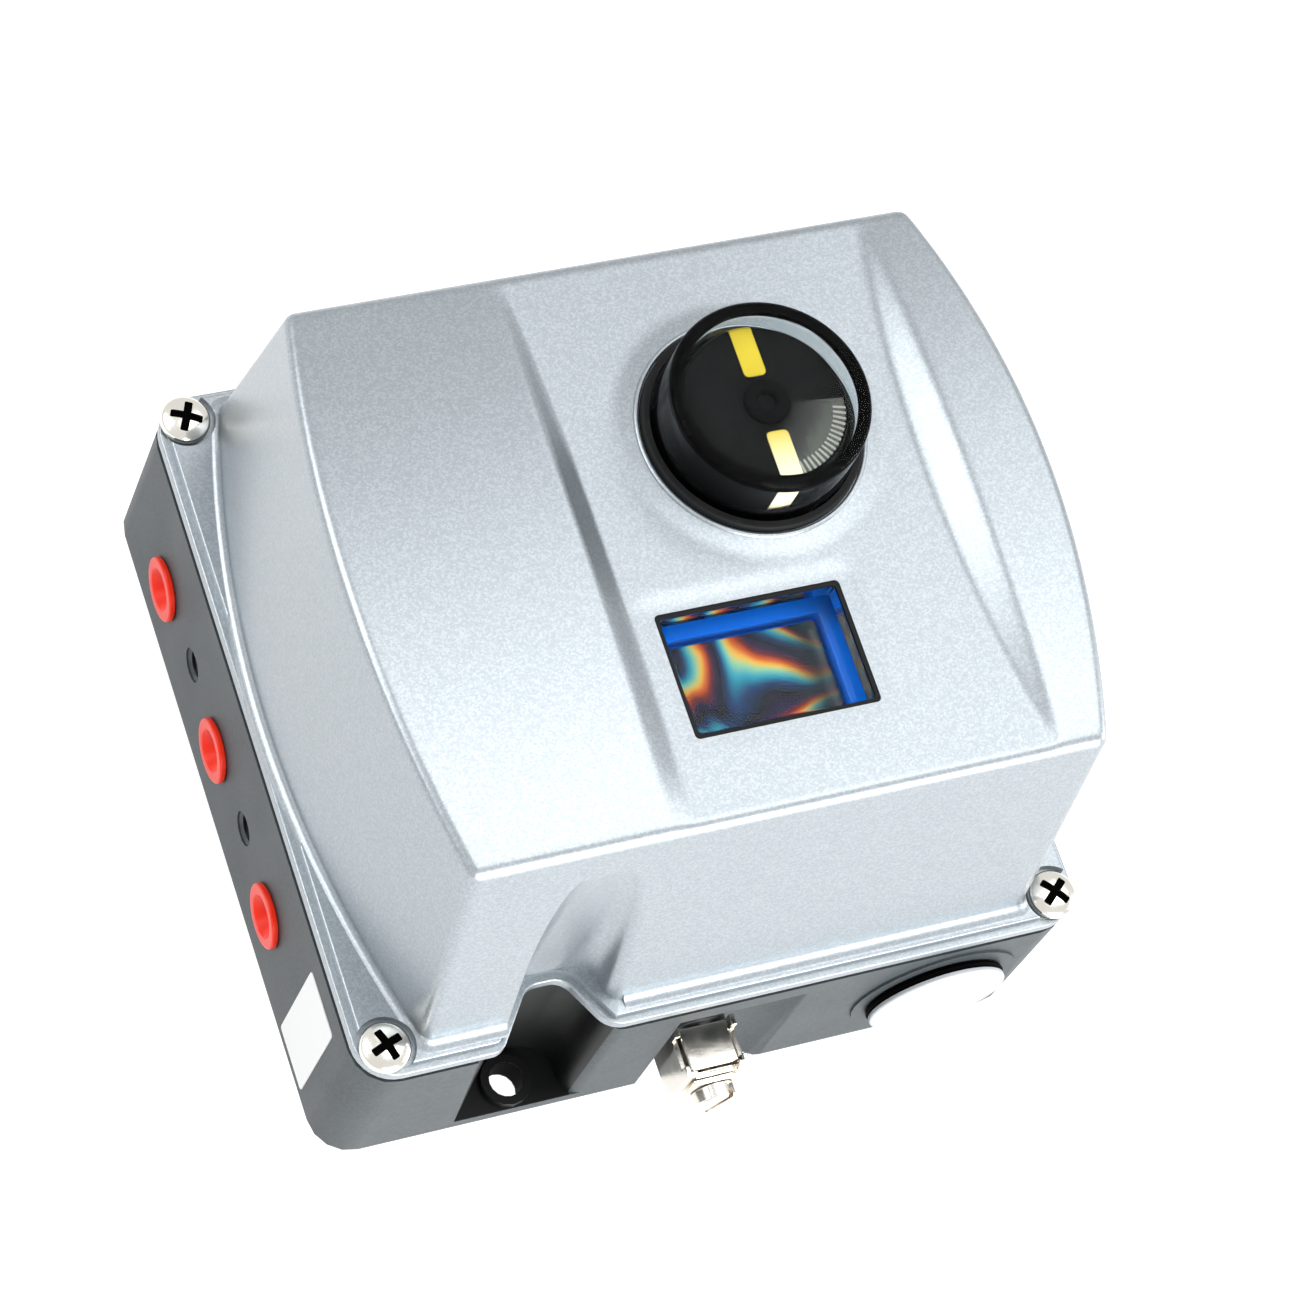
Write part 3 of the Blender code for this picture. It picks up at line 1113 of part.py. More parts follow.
def make_dome(build):
    under = DOME_BASE - COVER_WALL - MIDDLE_PANEL_ARCH
    flange_top = under - GAP - DOME_SEAL_THICKNESS - GAP
    flange_low = flange_top - DOME_FLANGE_THICKNESS
    inner = DOME_RADIUS - DOME_WALL
    inner_top = DOME_TOP_RADIUS - DOME_WALL
    profile = [(0.0, DOME_TOP), (DOME_TOP_RADIUS - DOME_EDGE, DOME_TOP)]
    profile += [(r, z) for r, z in reversed(arc((DOME_TOP_RADIUS - DOME_EDGE, DOME_TOP - DOME_EDGE),
                                                DOME_EDGE, 0, 60, 2))]
    profile += [(DOME_RADIUS, DOME_BASE), (DOME_RADIUS, flange_top),
                (DOME_RADIUS + DOME_FLANGE, flange_top), (DOME_RADIUS + DOME_FLANGE, flange_low),
                (inner, flange_low), (inner_top, DOME_TOP - DOME_ROOF), (0.0, DOME_TOP - DOME_ROOF)]
    dome = turned("dome", profile, (SHAFT_X, SHAFT_Y, 0), build.parts, steps=32)
    build.finish(dome, "clear_plastic", "cover", 25)
    gap_in = DOME_RADIUS + GAP
    lip = DOME_RADIUS + DOME_SEAL_LIP
    outer = DOME_RADIUS + DOME_FLANGE
    seal_low = flange_top + GAP
    profile = [(lip, DOME_BASE + DOME_SEAL_PROUD), (lip, seal_low + DOME_SEAL_THICKNESS),
               (outer, seal_low + DOME_SEAL_THICKNESS), (outer, seal_low), (gap_in, seal_low),
               (gap_in, DOME_BASE + DOME_SEAL_PROUD)]
    seal = turned("dome_seal", profile, (SHAFT_X, SHAFT_Y, 0), build.parts, steps=32, closed=True)
    build.finish(seal, "rubber", "cover")
    retainer_high = flange_low - GAP
    ring("dome_retainer", inner + RETAINER_CLEARANCE, outer + RETAINER_WIDTH,
         retainer_high - RETAINER_THICKNESS, retainer_high, build, "steel", "cover", 32)


def make_window(build):
    under = COVER_TOP_HEIGHT - COVER_WALL
    half_x = WINDOW_WIDTH / 2 + WINDOW_LAP
    half_y = WINDOW_DEPTH / 2 + WINDOW_LAP
    centre = (WINDOW_X, WINDOW_Y)
    seal_high = under - GAP
    seal_low = seal_high - WINDOW_SEAL
    outer = rounded_rectangle(half_x, half_y, WINDOW_PANE_CORNER, centre)
    inner = rounded_rectangle(WINDOW_WIDTH / 2 + GAP, WINDOW_DEPTH / 2 + GAP, WINDOW_CORNER, centre)
    seal = plate("window_seal", [outer, inner], seal_low, seal_high, build.parts)
    build.finish(seal, "rubber", "cover")
    pane_high = seal_low - GAP
    pane = plate("window_pane", [outer], pane_high - WINDOW_THICKNESS, pane_high, build.parts)
    raised = plate("window_step", [rounded_rectangle(WINDOW_WIDTH / 2 - GAP, WINDOW_DEPTH / 2 - GAP,
                                                     WINDOW_CORNER - GAP, centre)],
                   pane_high - GAP, COVER_TOP_HEIGHT - WINDOW_POCKET_DEPTH - GAP, build.tools)
    join(pane, raised)
    build.finish(pane, "clear_plastic", "cover")


def valve_ends():
    return PORT_MIDDLE_Y - VALVE_LENGTH / 2, PORT_MIDDLE_Y + VALVE_LENGTH / 2


def valve_screws():
    """Places of the valve's three screws and the sides that they are on."""
    low, high = valve_ends()
    inset = VALVE_SCREW_HEAD + VALVE_SCREW_MARGIN
    left = VALVE_X - VALVE_WIDTH / 2 + inset
    right = VALVE_X + VALVE_WIDTH / 2 - inset
    return [(left, low + inset, 1), (right, low + inset, 2), (left, high - inset, 3)]


def make_valve(build):
    tools = build.tools
    low, high = valve_ends()
    half = VALVE_WIDTH / 2
    body = span("valve_body", (VALVE_X - half, low, VALVE_BOTTOM),
                (VALVE_X + half, high, VALVE_BOTTOM + VALVE_HEIGHT), build.parts)
    round_edges(body, VALVE_EDGE, 1, 60)
    cut(body, cylinder("valve_bore", VALVE_BORE, VALVE_LENGTH + 2 * CUT_PAST,
                       (VALVE_X, low - CUT_PAST, VALVE_AXIS), "Y", tools, 16))
    for x, y, number in valve_screws():
        cut(body, cylinder(f"valve_way_{number}", VALVE_SCREW_SHANK + GAP, VALVE_HEIGHT + 2 * CUT_PAST,
                           (x, y, VALVE_BOTTOM - CUT_PAST), "Z", tools, 8))
    build.finish(body, "aluminium")
    inner = half - VALVE_GASKET_INSET
    gasket = span("valve_gasket", (VALVE_X - inner, low + VALVE_GASKET_INSET, HOUSING_FLOOR + GAP),
                  (VALVE_X + inner, high - VALVE_GASKET_INSET, HOUSING_FLOOR + GAP + VALVE_GASKET),
                  build.parts)
    for x, y, number in valve_screws():
        cut(gasket, cylinder(f"valve_gasket_way_{number}", VALVE_SCREW_SHANK + GAP, 2 * CUT_PAST,
                             (x, y, HOUSING_FLOOR - CUT_PAST), "Z", tools, 12))
    build.finish(gasket, "rubber")
    for name, start in (("valve_cap_front", low - GAP - VALVE_CAP_LENGTH), ("valve_cap_back", high + GAP)):
        cap = cylinder(name, VALVE_CAP_RADIUS, VALVE_CAP_LENGTH, (VALVE_X, start, VALVE_AXIS), "Y",
                       build.parts, 24)
        round_edges(cap, VALVE_CAP_EDGE, 1, 60)
        build.finish(cap, "black_plastic")
    make_spool(build, low, high)
    top = VALVE_BOTTOM + VALVE_HEIGHT
    for x, y, number in valve_screws():
        make_small_screw(build, f"valve_screw_{number}", (x, y), top + GAP, VALVE_SCREW_HEAD,
                         VALVE_SCREW_HEAD_HEIGHT, VALVE_SCREW_SHANK, top + GAP - HOUSING_FLOOR + SMALL_BITE)


def make_spool(build, low, high):
    """Five-land spool, with a spring in the bore at its back end."""
    start = low + SPOOL_TRAVEL + GAP
    end = high - SPOOL_TRAVEL - SPRING_LENGTH - GAP
    pitch = (end - start) / (2 * SPOOL_LANDS - 1)
    profile = [(0.0, end)]
    for i in range(SPOOL_LANDS):
        top = end - 2 * i * pitch
        profile += [(SPOOL_LAND, top), (SPOOL_LAND, top - pitch)]
        if i < SPOOL_LANDS - 1:
            profile += [(SPOOL_WAIST, top - pitch), (SPOOL_WAIST, top - 2 * pitch)]
    profile.append((0.0, start))
    spool = turned("spool", profile, (VALVE_X, 0, VALVE_AXIS), build.parts, axis="Y", steps=16)
    build.finish(spool, "steel", "spool")
    spring_radius = SPOOL_LAND - SPRING_WIRE - GAP
    spring_start = end + SPOOL_TRAVEL + GAP
    count = SPRING_TURNS * SPRING_STEPS
    length = high - GAP - SPRING_WIRE - (spring_start + SPRING_WIRE)
    curve = bpy.data.curves.new("spool_spring", "CURVE")
    curve.dimensions = "3D"
    curve.bevel_depth = SPRING_WIRE
    curve.bevel_resolution = 0
    curve.use_fill_caps = True
    spline = curve.splines.new("POLY")
    spline.points.add(count)
    for i, point in enumerate(spline.points):
        angle = 2 * math.pi * i / SPRING_STEPS
        along = spring_start + SPRING_WIRE + length * i / count
        point.co = (VALVE_X + spring_radius * math.cos(angle), along,
                    VALVE_AXIS + spring_radius * math.sin(angle), 1.0)
    spring = bake(new_object("spool_spring", curve, build.parts), build.parts)
    build.finish(spring, "steel")


def make_small_screw(build, name, place, seat, head, height, shank, length, colour="steel", carrier=None):
    profile = [(0.0, seat + height), (head - SMALL_EDGE, seat + height), (head, seat + height - SMALL_EDGE),
               (head, seat), (shank, seat), (shank, seat - length), (0.0, seat - length)]
    screw = turned(name, profile, (*place, 0), build.parts, steps=8)
    slot = (2 * head * SMALL_SLOT_SHARE, SMALL_SLOT_WIDTH, 2 * SMALL_SLOT_DEPTH)
    cut(screw, box(name + "_slot", slot, (*place, seat + height), build.tools))
    build.finish(screw, colour, carrier)


def make_prestage(build):
    """Electro-pneumatic pilot stage on the valve's top, with its coil and nozzle."""
    tools = build.tools
    _, high = valve_ends()
    bottom = VALVE_BOTTOM + VALVE_HEIGHT + GAP
    back = high - PRESTAGE_BACK_GAP
    front = back - PRESTAGE_LENGTH
    left = VALVE_X + VALVE_WIDTH / 2 - PRESTAGE_WIDTH
    top = bottom + PRESTAGE_HEIGHT
    keep = VALVE_SCREW_HEAD * 2 + PRESTAGE_SCREW_GAP
    body = span("prestage_body", (left, front - keep, bottom), (left + PRESTAGE_WIDTH, back - keep, top),
                build.parts)
    round_edges(body, VALVE_EDGE, 1, 60)
    middle_y = (front + back) / 2 - keep
    coil_x = left + PRESTAGE_WIDTH / 2
    cut(body, cylinder("coil_seat", COIL_RADIUS + GAP, COIL_SINK + CUT_PAST,
                       (coil_x, middle_y, top - COIL_SINK), "Z", tools, 16))
    build.finish(body, "black_plastic")
    coil_low = top - COIL_SINK + GAP
    bore = NOZZLE_RADIUS + GAP
    profile = [(COIL_RADIUS, coil_low + COIL_HEIGHT), (COIL_RADIUS, coil_low), (bore, coil_low),
               (bore, coil_low + COIL_HEIGHT)]
    coil = turned("prestage_coil", profile, (coil_x, middle_y, 0), build.parts, steps=16, closed=True)
    build.finish(coil, "bronze")
    nozzle = cylinder("prestage_nozzle", NOZZLE_RADIUS, COIL_HEIGHT + NOZZLE_HEIGHT,
                      (coil_x, middle_y, coil_low), "Z", build.parts, 16)
    build.finish(nozzle, "steel")


def make_electronics(build):
    tools = build.tools
    half_x = SHIELD_WIDTH / 2
    half_y = SHIELD_DEPTH / 2
    centre = (SHIELD_X, SHIELD_Y)
    board_half = (half_x - SHIELD_WALL - BOARD_MARGIN, half_y - SHIELD_WALL - BOARD_MARGIN)
    board_low = BOARD_HEIGHT + GAP
    board_top = board_low + BOARD_THICKNESS
    board = plate("mainboard", [rounded_rectangle(*board_half, BOARD_CORNER, centre),
                                circle((SHAFT_X, SHAFT_Y), SENSOR_RADIUS + BOARD_SENSOR_GAP, 24)],
                  board_low, board_top, build.parts)
    chips = ((-1, -1, CHIP_SIDE, CHIP_HEIGHT), (0, -1, CHIP_SIDE, CHIP_HEIGHT),
             (1, -1, CAPACITOR_SIDE, CAPACITOR_HEIGHT), (-1, 1, CAPACITOR_SIDE, CAPACITOR_HEIGHT))
    for i, (sx, sy, side, height) in enumerate(chips):
        x, y = (limit - CHIP_MARGIN - side / 2 for limit in board_half)
        middle = (SHIELD_X + sx * x, SHIELD_Y + sy * y, board_top + height / 2 - GAP / 2)
        join(board, box(f"chip_{i}", (side, side, height + GAP), middle, tools))
    build.finish(board, "board")
    shield = plate("shield_cover", [rounded_rectangle(half_x, half_y, SHIELD_CORNER, centre)],
                   SHIELD_BOTTOM, SHIELD_TOP, build.parts)
    round_edges(shield, SHIELD_EDGE, 1, 50)
    for i, (x, y) in enumerate(shield_tabs()):
        join(shield, span(f"shield_tab_{i}", (x - SHIELD_TAB_REACH, y - SHIELD_TAB_REACH, SHIELD_BOTTOM),
                          (x + SHIELD_TAB_REACH, y + SHIELD_TAB_REACH,
                           SHIELD_BOTTOM + SHIELD_TAB_THICKNESS), tools))
    cut(shield, plate("shield_inside", [rounded_rectangle(half_x - SHIELD_WALL, half_y - SHIELD_WALL,
                                                          SHIELD_CORNER - SHIELD_WALL, centre)],
                      SHIELD_BOTTOM - CUT_PAST, SHIELD_TOP - SHIELD_WALL, tools))
    bush = SHAFT_RADIUS + SHAFT_RUNNING + BUSH_WALL
    collar = cylinder("shield_collar", bush + SHIELD_WALL, BUSH_LENGTH + SHIELD_WALL,
                      (SHAFT_X, SHAFT_Y, SHIELD_TOP - SHIELD_WALL - BUSH_LENGTH), "Z", tools, 24)
    join(shield, collar)
    bush_low = SHIELD_TOP - SHIELD_WALL - BUSH_LENGTH
    cut(shield, cylinder("shield_bush_bore", bush + GAP, BUSH_LENGTH + CUT_PAST - GAP,
                         (SHAFT_X, SHAFT_Y, bush_low - CUT_PAST), "Z", tools, 24))
    cut(shield, cylinder("shield_shaft_hole", SHAFT_RADIUS + SHAFT_CLEARANCE, 4 * CUT_PAST,
                         (SHAFT_X, SHAFT_Y, SHIELD_TOP - 2 * CUT_PAST), "Z", tools, 16))
    for i, (x, y) in enumerate(shield_tabs()):
        cut(shield, cylinder(f"shield_way_{i}", SMALL_SHANK + GAP, 2 * CUT_PAST,
                             (x, y, SHIELD_BOTTOM - CUT_PAST), "Z", tools, 12))
    build.finish(shield, "black_plastic")
    seat = SHIELD_BOTTOM + SHIELD_TAB_THICKNESS + GAP
    for i, place in enumerate(shield_tabs(), 1):
        make_small_screw(build, f"shield_screw_{i}", place, seat, SHIELD_SCREW_HEAD,
                         SHIELD_SCREW_HEAD_HEIGHT, SMALL_SHANK, seat - HOUSING_FLOOR + SMALL_BITE)
    make_terminals(build)


def make_terminals(build):
    """Row of screw terminals behind the cable entry."""
    front = TERMINAL_FRONT
    low = HOUSING_FLOOR + GAP
    high = low + TERMINAL_HEIGHT
    left = TERMINAL_X - TERMINAL_WIDTH / 2
    block = span("terminal_block", (left, front, low), (left + TERMINAL_WIDTH, front + TERMINAL_DEPTH, high),
                 build.parts)
    pitch = TERMINAL_WIDTH / TERMINAL_WAYS
    for i in range(TERMINAL_WAYS):
        x = left + pitch * (i + 0.5)
        cut(block, cylinder(f"terminal_well_{i}", pitch * WELL_SHARE, CUT_PAST,
                            (x, front + TERMINAL_DEPTH * WELL_PLACE, high - WELL_DEPTH), "Z",
                            build.tools, 8))
        mouth = pitch * MOUTH_SHARE
        cut(block, span(f"terminal_mouth_{i}", (x - mouth, front - CUT_PAST, low + MOUTH_LOW),
                        (x + mouth, front + MOUTH_DEPTH, low + MOUTH_LOW + MOUTH_HEIGHT), build.tools))
    build.finish(block, "blue_plastic")


def button_places():
    first = PANEL_Y - BUTTON_PITCH * (BUTTONS - 1) / 2
    return [(BUTTON_X, first + BUTTON_PITCH * i) for i in range(BUTTONS)]


def make_interface(build):
    """Blue local interface panel under the window: display, four keys and two screws."""
    tools = build.tools
    half_x = PANEL_WIDTH / 2
    half_y = PANEL_DEPTH / 2
    panel = plate("interface_panel", [rounded_rectangle(half_x, half_y, PANEL_CORNER, (PANEL_X, PANEL_Y))],
                  PANEL_BOTTOM, PANEL_TOP, build.parts)
    frame = rounded_rectangle(LCD_WIDTH / 2 + LCD_MARGIN, LCD_DEPTH / 2 + LCD_MARGIN, LCD_FRAME_CORNER,
                              (LCD_X, LCD_Y))
    cut(panel, plate("display_frame", [frame], PANEL_TOP - PANEL_FRAME_DEPTH, PANEL_TOP + CUT_PAST, tools))
    for i, (x, y) in enumerate(button_places()):
        cut(panel, cylinder(f"button_way_{i}", BUTTON_RADIUS + GAP, PANEL_FRAME_DEPTH + CUT_PAST,
                            (x, y, PANEL_TOP - PANEL_FRAME_DEPTH), "Z", tools, 16))
    seat = PANEL_TOP - PANEL_SCREW_SINK
    screws = [(PANEL_LEFT + PANEL_SCREW_INSET, PANEL_Y), (PANEL_RIGHT - PANEL_SCREW_INSET, PANEL_Y)]
    for i, (x, y) in enumerate(screws):
        cut(panel, cylinder(f"panel_screw_seat_{i}", SHIELD_SCREW_HEAD + GAP, CUT_PAST, (x, y, seat), "Z",
                            tools, 12))
        cut(panel, cylinder(f"panel_screw_way_{i}", SMALL_SHANK + GAP, PANEL_HEIGHT + CUT_PAST,
                            (x, y, PANEL_BOTTOM - CUT_PAST / 2), "Z", tools, 8))
    build.finish(panel, "blue_plastic")
    for i, place in enumerate(screws, 1):
        make_small_screw(build, f"interface_screw_{i}", place, seat + GAP, SHIELD_SCREW_HEAD,
                         SHIELD_SCREW_HEAD_HEIGHT, SMALL_SHANK, seat + GAP - PANEL_BOTTOM)
    lcd_low = PANEL_TOP - PANEL_FRAME_DEPTH + GAP
    display = plate("display", [rounded_rectangle(LCD_WIDTH / 2, LCD_DEPTH / 2, LCD_CORNER, (LCD_X, LCD_Y))],
                    lcd_low, lcd_low + LCD_THICKNESS, build.parts)
    build.finish(display, "display")
    for i, (x, y) in enumerate(button_places(), 1):
        low = PANEL_TOP - PANEL_FRAME_DEPTH + BUTTON_TRAVEL + GAP
        profile = [(0.0, PANEL_TOP + BUTTON_PROUD), (BUTTON_RADIUS - BUTTON_EDGE, PANEL_TOP + BUTTON_PROUD),
                   (BUTTON_RADIUS, PANEL_TOP + BUTTON_PROUD - BUTTON_EDGE), (BUTTON_RADIUS, low), (0.0, low)]
        button = turned(f"button_{i}", profile, (x, y, 0), build.parts, steps=16)
        build.finish(button, "black_plastic", f"button_{i}")


def main():
    clear_scene()
    build = Build()
    build.carrier("cover", (0, 0, FLANGE_BOTTOM))
    build.carrier("shaft", (SHAFT_X, SHAFT_Y, 0))
    build.carrier("spool", (VALVE_X, PORT_MIDDLE_Y, VALVE_AXIS))
    for i, (x, y) in enumerate(button_places(), 1):
        build.carrier(f"button_{i}", (x, y, PANEL_TOP))
    bpy.context.view_layer.update()
    make_housing(build)
    make_gasket(build)
    make_cover(build)
    make_cover_screws(build)
    make_port_plugs(build)
    make_cable_plug(build)
    make_earth_terminal(build)
    make_shaft(build)
    make_pointer(build)
    make_dome(build)
    make_window(build)
    make_valve(build)
    make_prestage(build)
    make_electronics(build)
    make_interface(build)


if __name__ == "__main__":
    main()
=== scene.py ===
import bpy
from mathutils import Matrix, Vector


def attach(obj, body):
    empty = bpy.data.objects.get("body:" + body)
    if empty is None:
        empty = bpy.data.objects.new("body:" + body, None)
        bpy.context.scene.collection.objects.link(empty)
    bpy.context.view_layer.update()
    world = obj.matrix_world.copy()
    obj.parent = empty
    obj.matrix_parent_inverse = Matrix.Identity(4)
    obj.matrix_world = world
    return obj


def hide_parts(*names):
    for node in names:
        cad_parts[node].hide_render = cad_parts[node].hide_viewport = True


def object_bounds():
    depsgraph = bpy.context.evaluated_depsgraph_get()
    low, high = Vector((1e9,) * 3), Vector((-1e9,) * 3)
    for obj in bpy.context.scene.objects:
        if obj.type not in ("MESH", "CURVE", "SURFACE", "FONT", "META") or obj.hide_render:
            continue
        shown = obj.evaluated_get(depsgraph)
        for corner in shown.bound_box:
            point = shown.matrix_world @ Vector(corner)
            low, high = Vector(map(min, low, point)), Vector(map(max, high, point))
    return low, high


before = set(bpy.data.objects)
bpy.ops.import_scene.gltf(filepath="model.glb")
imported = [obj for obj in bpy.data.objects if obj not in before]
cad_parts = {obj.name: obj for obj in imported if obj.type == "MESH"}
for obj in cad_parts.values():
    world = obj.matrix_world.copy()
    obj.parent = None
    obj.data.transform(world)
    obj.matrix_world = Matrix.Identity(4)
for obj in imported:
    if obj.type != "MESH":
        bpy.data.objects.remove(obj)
CAD_BOX = [list(corner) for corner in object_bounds()]

import logging
import math
from dataclasses import dataclass, replace
from enum import Enum
from typing import Callable, Hashable, Iterable, Sequence

import bmesh
import bpy
from bmesh.types import BMesh, BMVert
from bpy.types import Material, Node, NodeSocket, NodeTree, Object
from mathutils import Matrix, Vector

MM = 0.001
# Tolerance of a place, and the least overlap of a cutter.
PLAY = 0.02 * MM
# Edges sharper than this many degrees are rounded or stay sharp, unless a piece says otherwise.
SHARP = 35.0
# The same angle for turned pieces and for pieces with mostly flat faces.
SHARP_TURNED, SHARP_FLAT = 30.0, 40.0
# Pieces of the small rounding at a turned piece's edge.
EDGE_STEPS = 6
# Inputs and output of a colour mix, by number, because its other sockets have the same names.
MIX_A, MIX_B, MIX_RESULT = 6, 7, 2
log = logging.getLogger("positioner")


class Body(Enum):
    """The bodies that the scene's own pieces ride on."""

    HOUSING = "housing"
    COVER = "cover"
    SHAFT = "shaft"


class Facing(Enum):
    """The way a round piece's axis points, as the turn that brings +Z there."""

    UP = Matrix.Identity(4)
    FRONT = Matrix.Rotation(math.radians(90), 4, "X")
    LEFT = Matrix.Rotation(math.radians(-90), 4, "Y")


def linear(colour: str) -> tuple[float, float, float, float]:
    """Turns an sRGB hex colour into linear values.

    Args:
        colour: The colour as "#rrggbb".

    Returns:
        Red, green, blue and alpha for a node's colour socket.
    """
    parts = [int(colour[i:i + 2], 16) / 255 for i in (1, 3, 5)]
    bent = [c / 12.92 if c <= 0.04045 else ((c + 0.055) / 1.055) ** 2.4 for c in parts]
    return (bent[0], bent[1], bent[2], 1.0)


def add(tree: NodeTree, kind: str, inputs: dict | None = None, **settings) -> Node:
    """Adds a node with its settings, values and links.

    Args:
        tree: The material's or world's node tree.
        kind: The node's type, such as "ShaderNodeBump".
        inputs: Socket name or number to a value, or to an output socket to link.
        **settings: Properties of the node itself.

    Returns:
        The new node.
    """
    node = tree.nodes.new(kind)
    for name, value in settings.items():
        setattr(node, name, value)
    for key, value in (inputs or {}).items():
        if isinstance(value, NodeSocket):
            tree.links.new(value, node.inputs[key])
        else:
            node.inputs[key].default_value = value
    return node


def stops(node: Node, *marks: tuple[float, str]) -> Node:
    """Gives a colour ramp its marks.

    Args:
        node: The ramp.
        *marks: Position from 0 to 1 and sRGB hex colour of each mark.

    Returns:
        The same ramp.
    """
    elements = node.color_ramp.elements
    while len(elements) < len(marks):
        elements.new(1.0)
    for element, (place, colour) in zip(elements, marks):
        element.position = place
        element.color = linear(colour)
    return node


def seen_directly(tree: NodeTree) -> NodeSocket:
    """Returns a socket that is 1 where the camera, metal or glass sees the surface.

    Args:
        tree: The material's or world's node tree.

    Returns:
        The socket.
    """
    light = add(tree, "ShaderNodeLightPath")
    seen = light.outputs["Is Camera Ray"]
    for kind in ("Is Glossy Ray", "Is Transmission Ray"):
        seen = add(tree, "ShaderNodeMath", {0: seen, 1: light.outputs[kind]}, operation="MAXIMUM").outputs[0]
    return seen


class Finish:
    """A surface finish, which makes its material once and hands out the same one after."""

    name: str

    def shader(self, tree: NodeTree) -> Node:
        """Builds the finish's nodes and returns the last shader."""
        raise NotImplementedError

    def material(self) -> Material:
        """Returns the finish's material.

        Returns:
            The material, made at the first call.
        """
        made = bpy.data.materials.get(self.name)
        if made is None:
            made = bpy.data.materials.new(self.name)
            made.use_nodes = True
            made.node_tree.nodes.clear()
            shader = self.shader(made.node_tree)
            add(made.node_tree, "ShaderNodeOutputMaterial", {"Surface": shader.outputs[0]})
        return made


@dataclass(frozen=True)
class SilverLacquer(Finish):
    """Aluminium-flake lacquer on a die casting: single flakes glint, and the whole pales at the lamp."""

    name: str = "silver_flake_lacquer"
    colour: str = "#99a0a5"
    bright_flake: str = "#b5bcc1"
    dark_flake: str = "#888f94"
    # Real flakes are some ten times finer, too fine to show in the render.
    flake: float = 0.33 * MM
    orange_peel: float = 2.5 * MM

    def shader(self, tree: NodeTree) -> Node:
        """Builds flakes of random tone and tilt under a thin clear coat.

        Args:
            tree: The material's node tree.

        Returns:
            The last shader.
        """
        place = add(tree, "ShaderNodeTexCoord").outputs["Object"]
        flakes = add(tree, "ShaderNodeTexVoronoi", {"Vector": place, "Scale": 1 / self.flake})
        pick = add(tree, "ShaderNodeSeparateColor", {"Color": flakes.outputs["Color"]})
        tone = stops(add(tree, "ShaderNodeValToRGB", {"Fac": pick.outputs["Red"]}),
                     (0.05, self.dark_flake), (0.5, self.colour), (0.95, self.bright_flake))
        base = add(tree, "ShaderNodeMix", {"Factor": 0.35, MIX_A: linear(self.colour),
                                           MIX_B: tone.outputs["Color"]}, data_type="RGBA")
        tilt = add(tree, "ShaderNodeMath", {0: flakes.outputs["Distance"], 1: pick.outputs["Green"]},
                   operation="MULTIPLY")
        grain = add(tree, "ShaderNodeBump", {"Height": tilt.outputs[0], "Strength": 0.12,
                                             "Distance": 0.08 * MM})
        peel = add(tree, "ShaderNodeTexNoise", {"Vector": place, "Scale": 1 / self.orange_peel,
                                                "Detail": 2.0})
        waves = add(tree, "ShaderNodeBump", {"Height": peel.outputs["Fac"], "Strength": 0.08,
                                             "Distance": 0.2 * MM, "Normal": grain.outputs[0]})
        return add(tree, "ShaderNodeBsdfPrincipled", {
            "Base Color": base.outputs[MIX_RESULT], "Metallic": 0.8, "Roughness": 0.35,
            "Coat Weight": 0.1, "Coat Roughness": 0.25, "Normal": waves.outputs[0]})


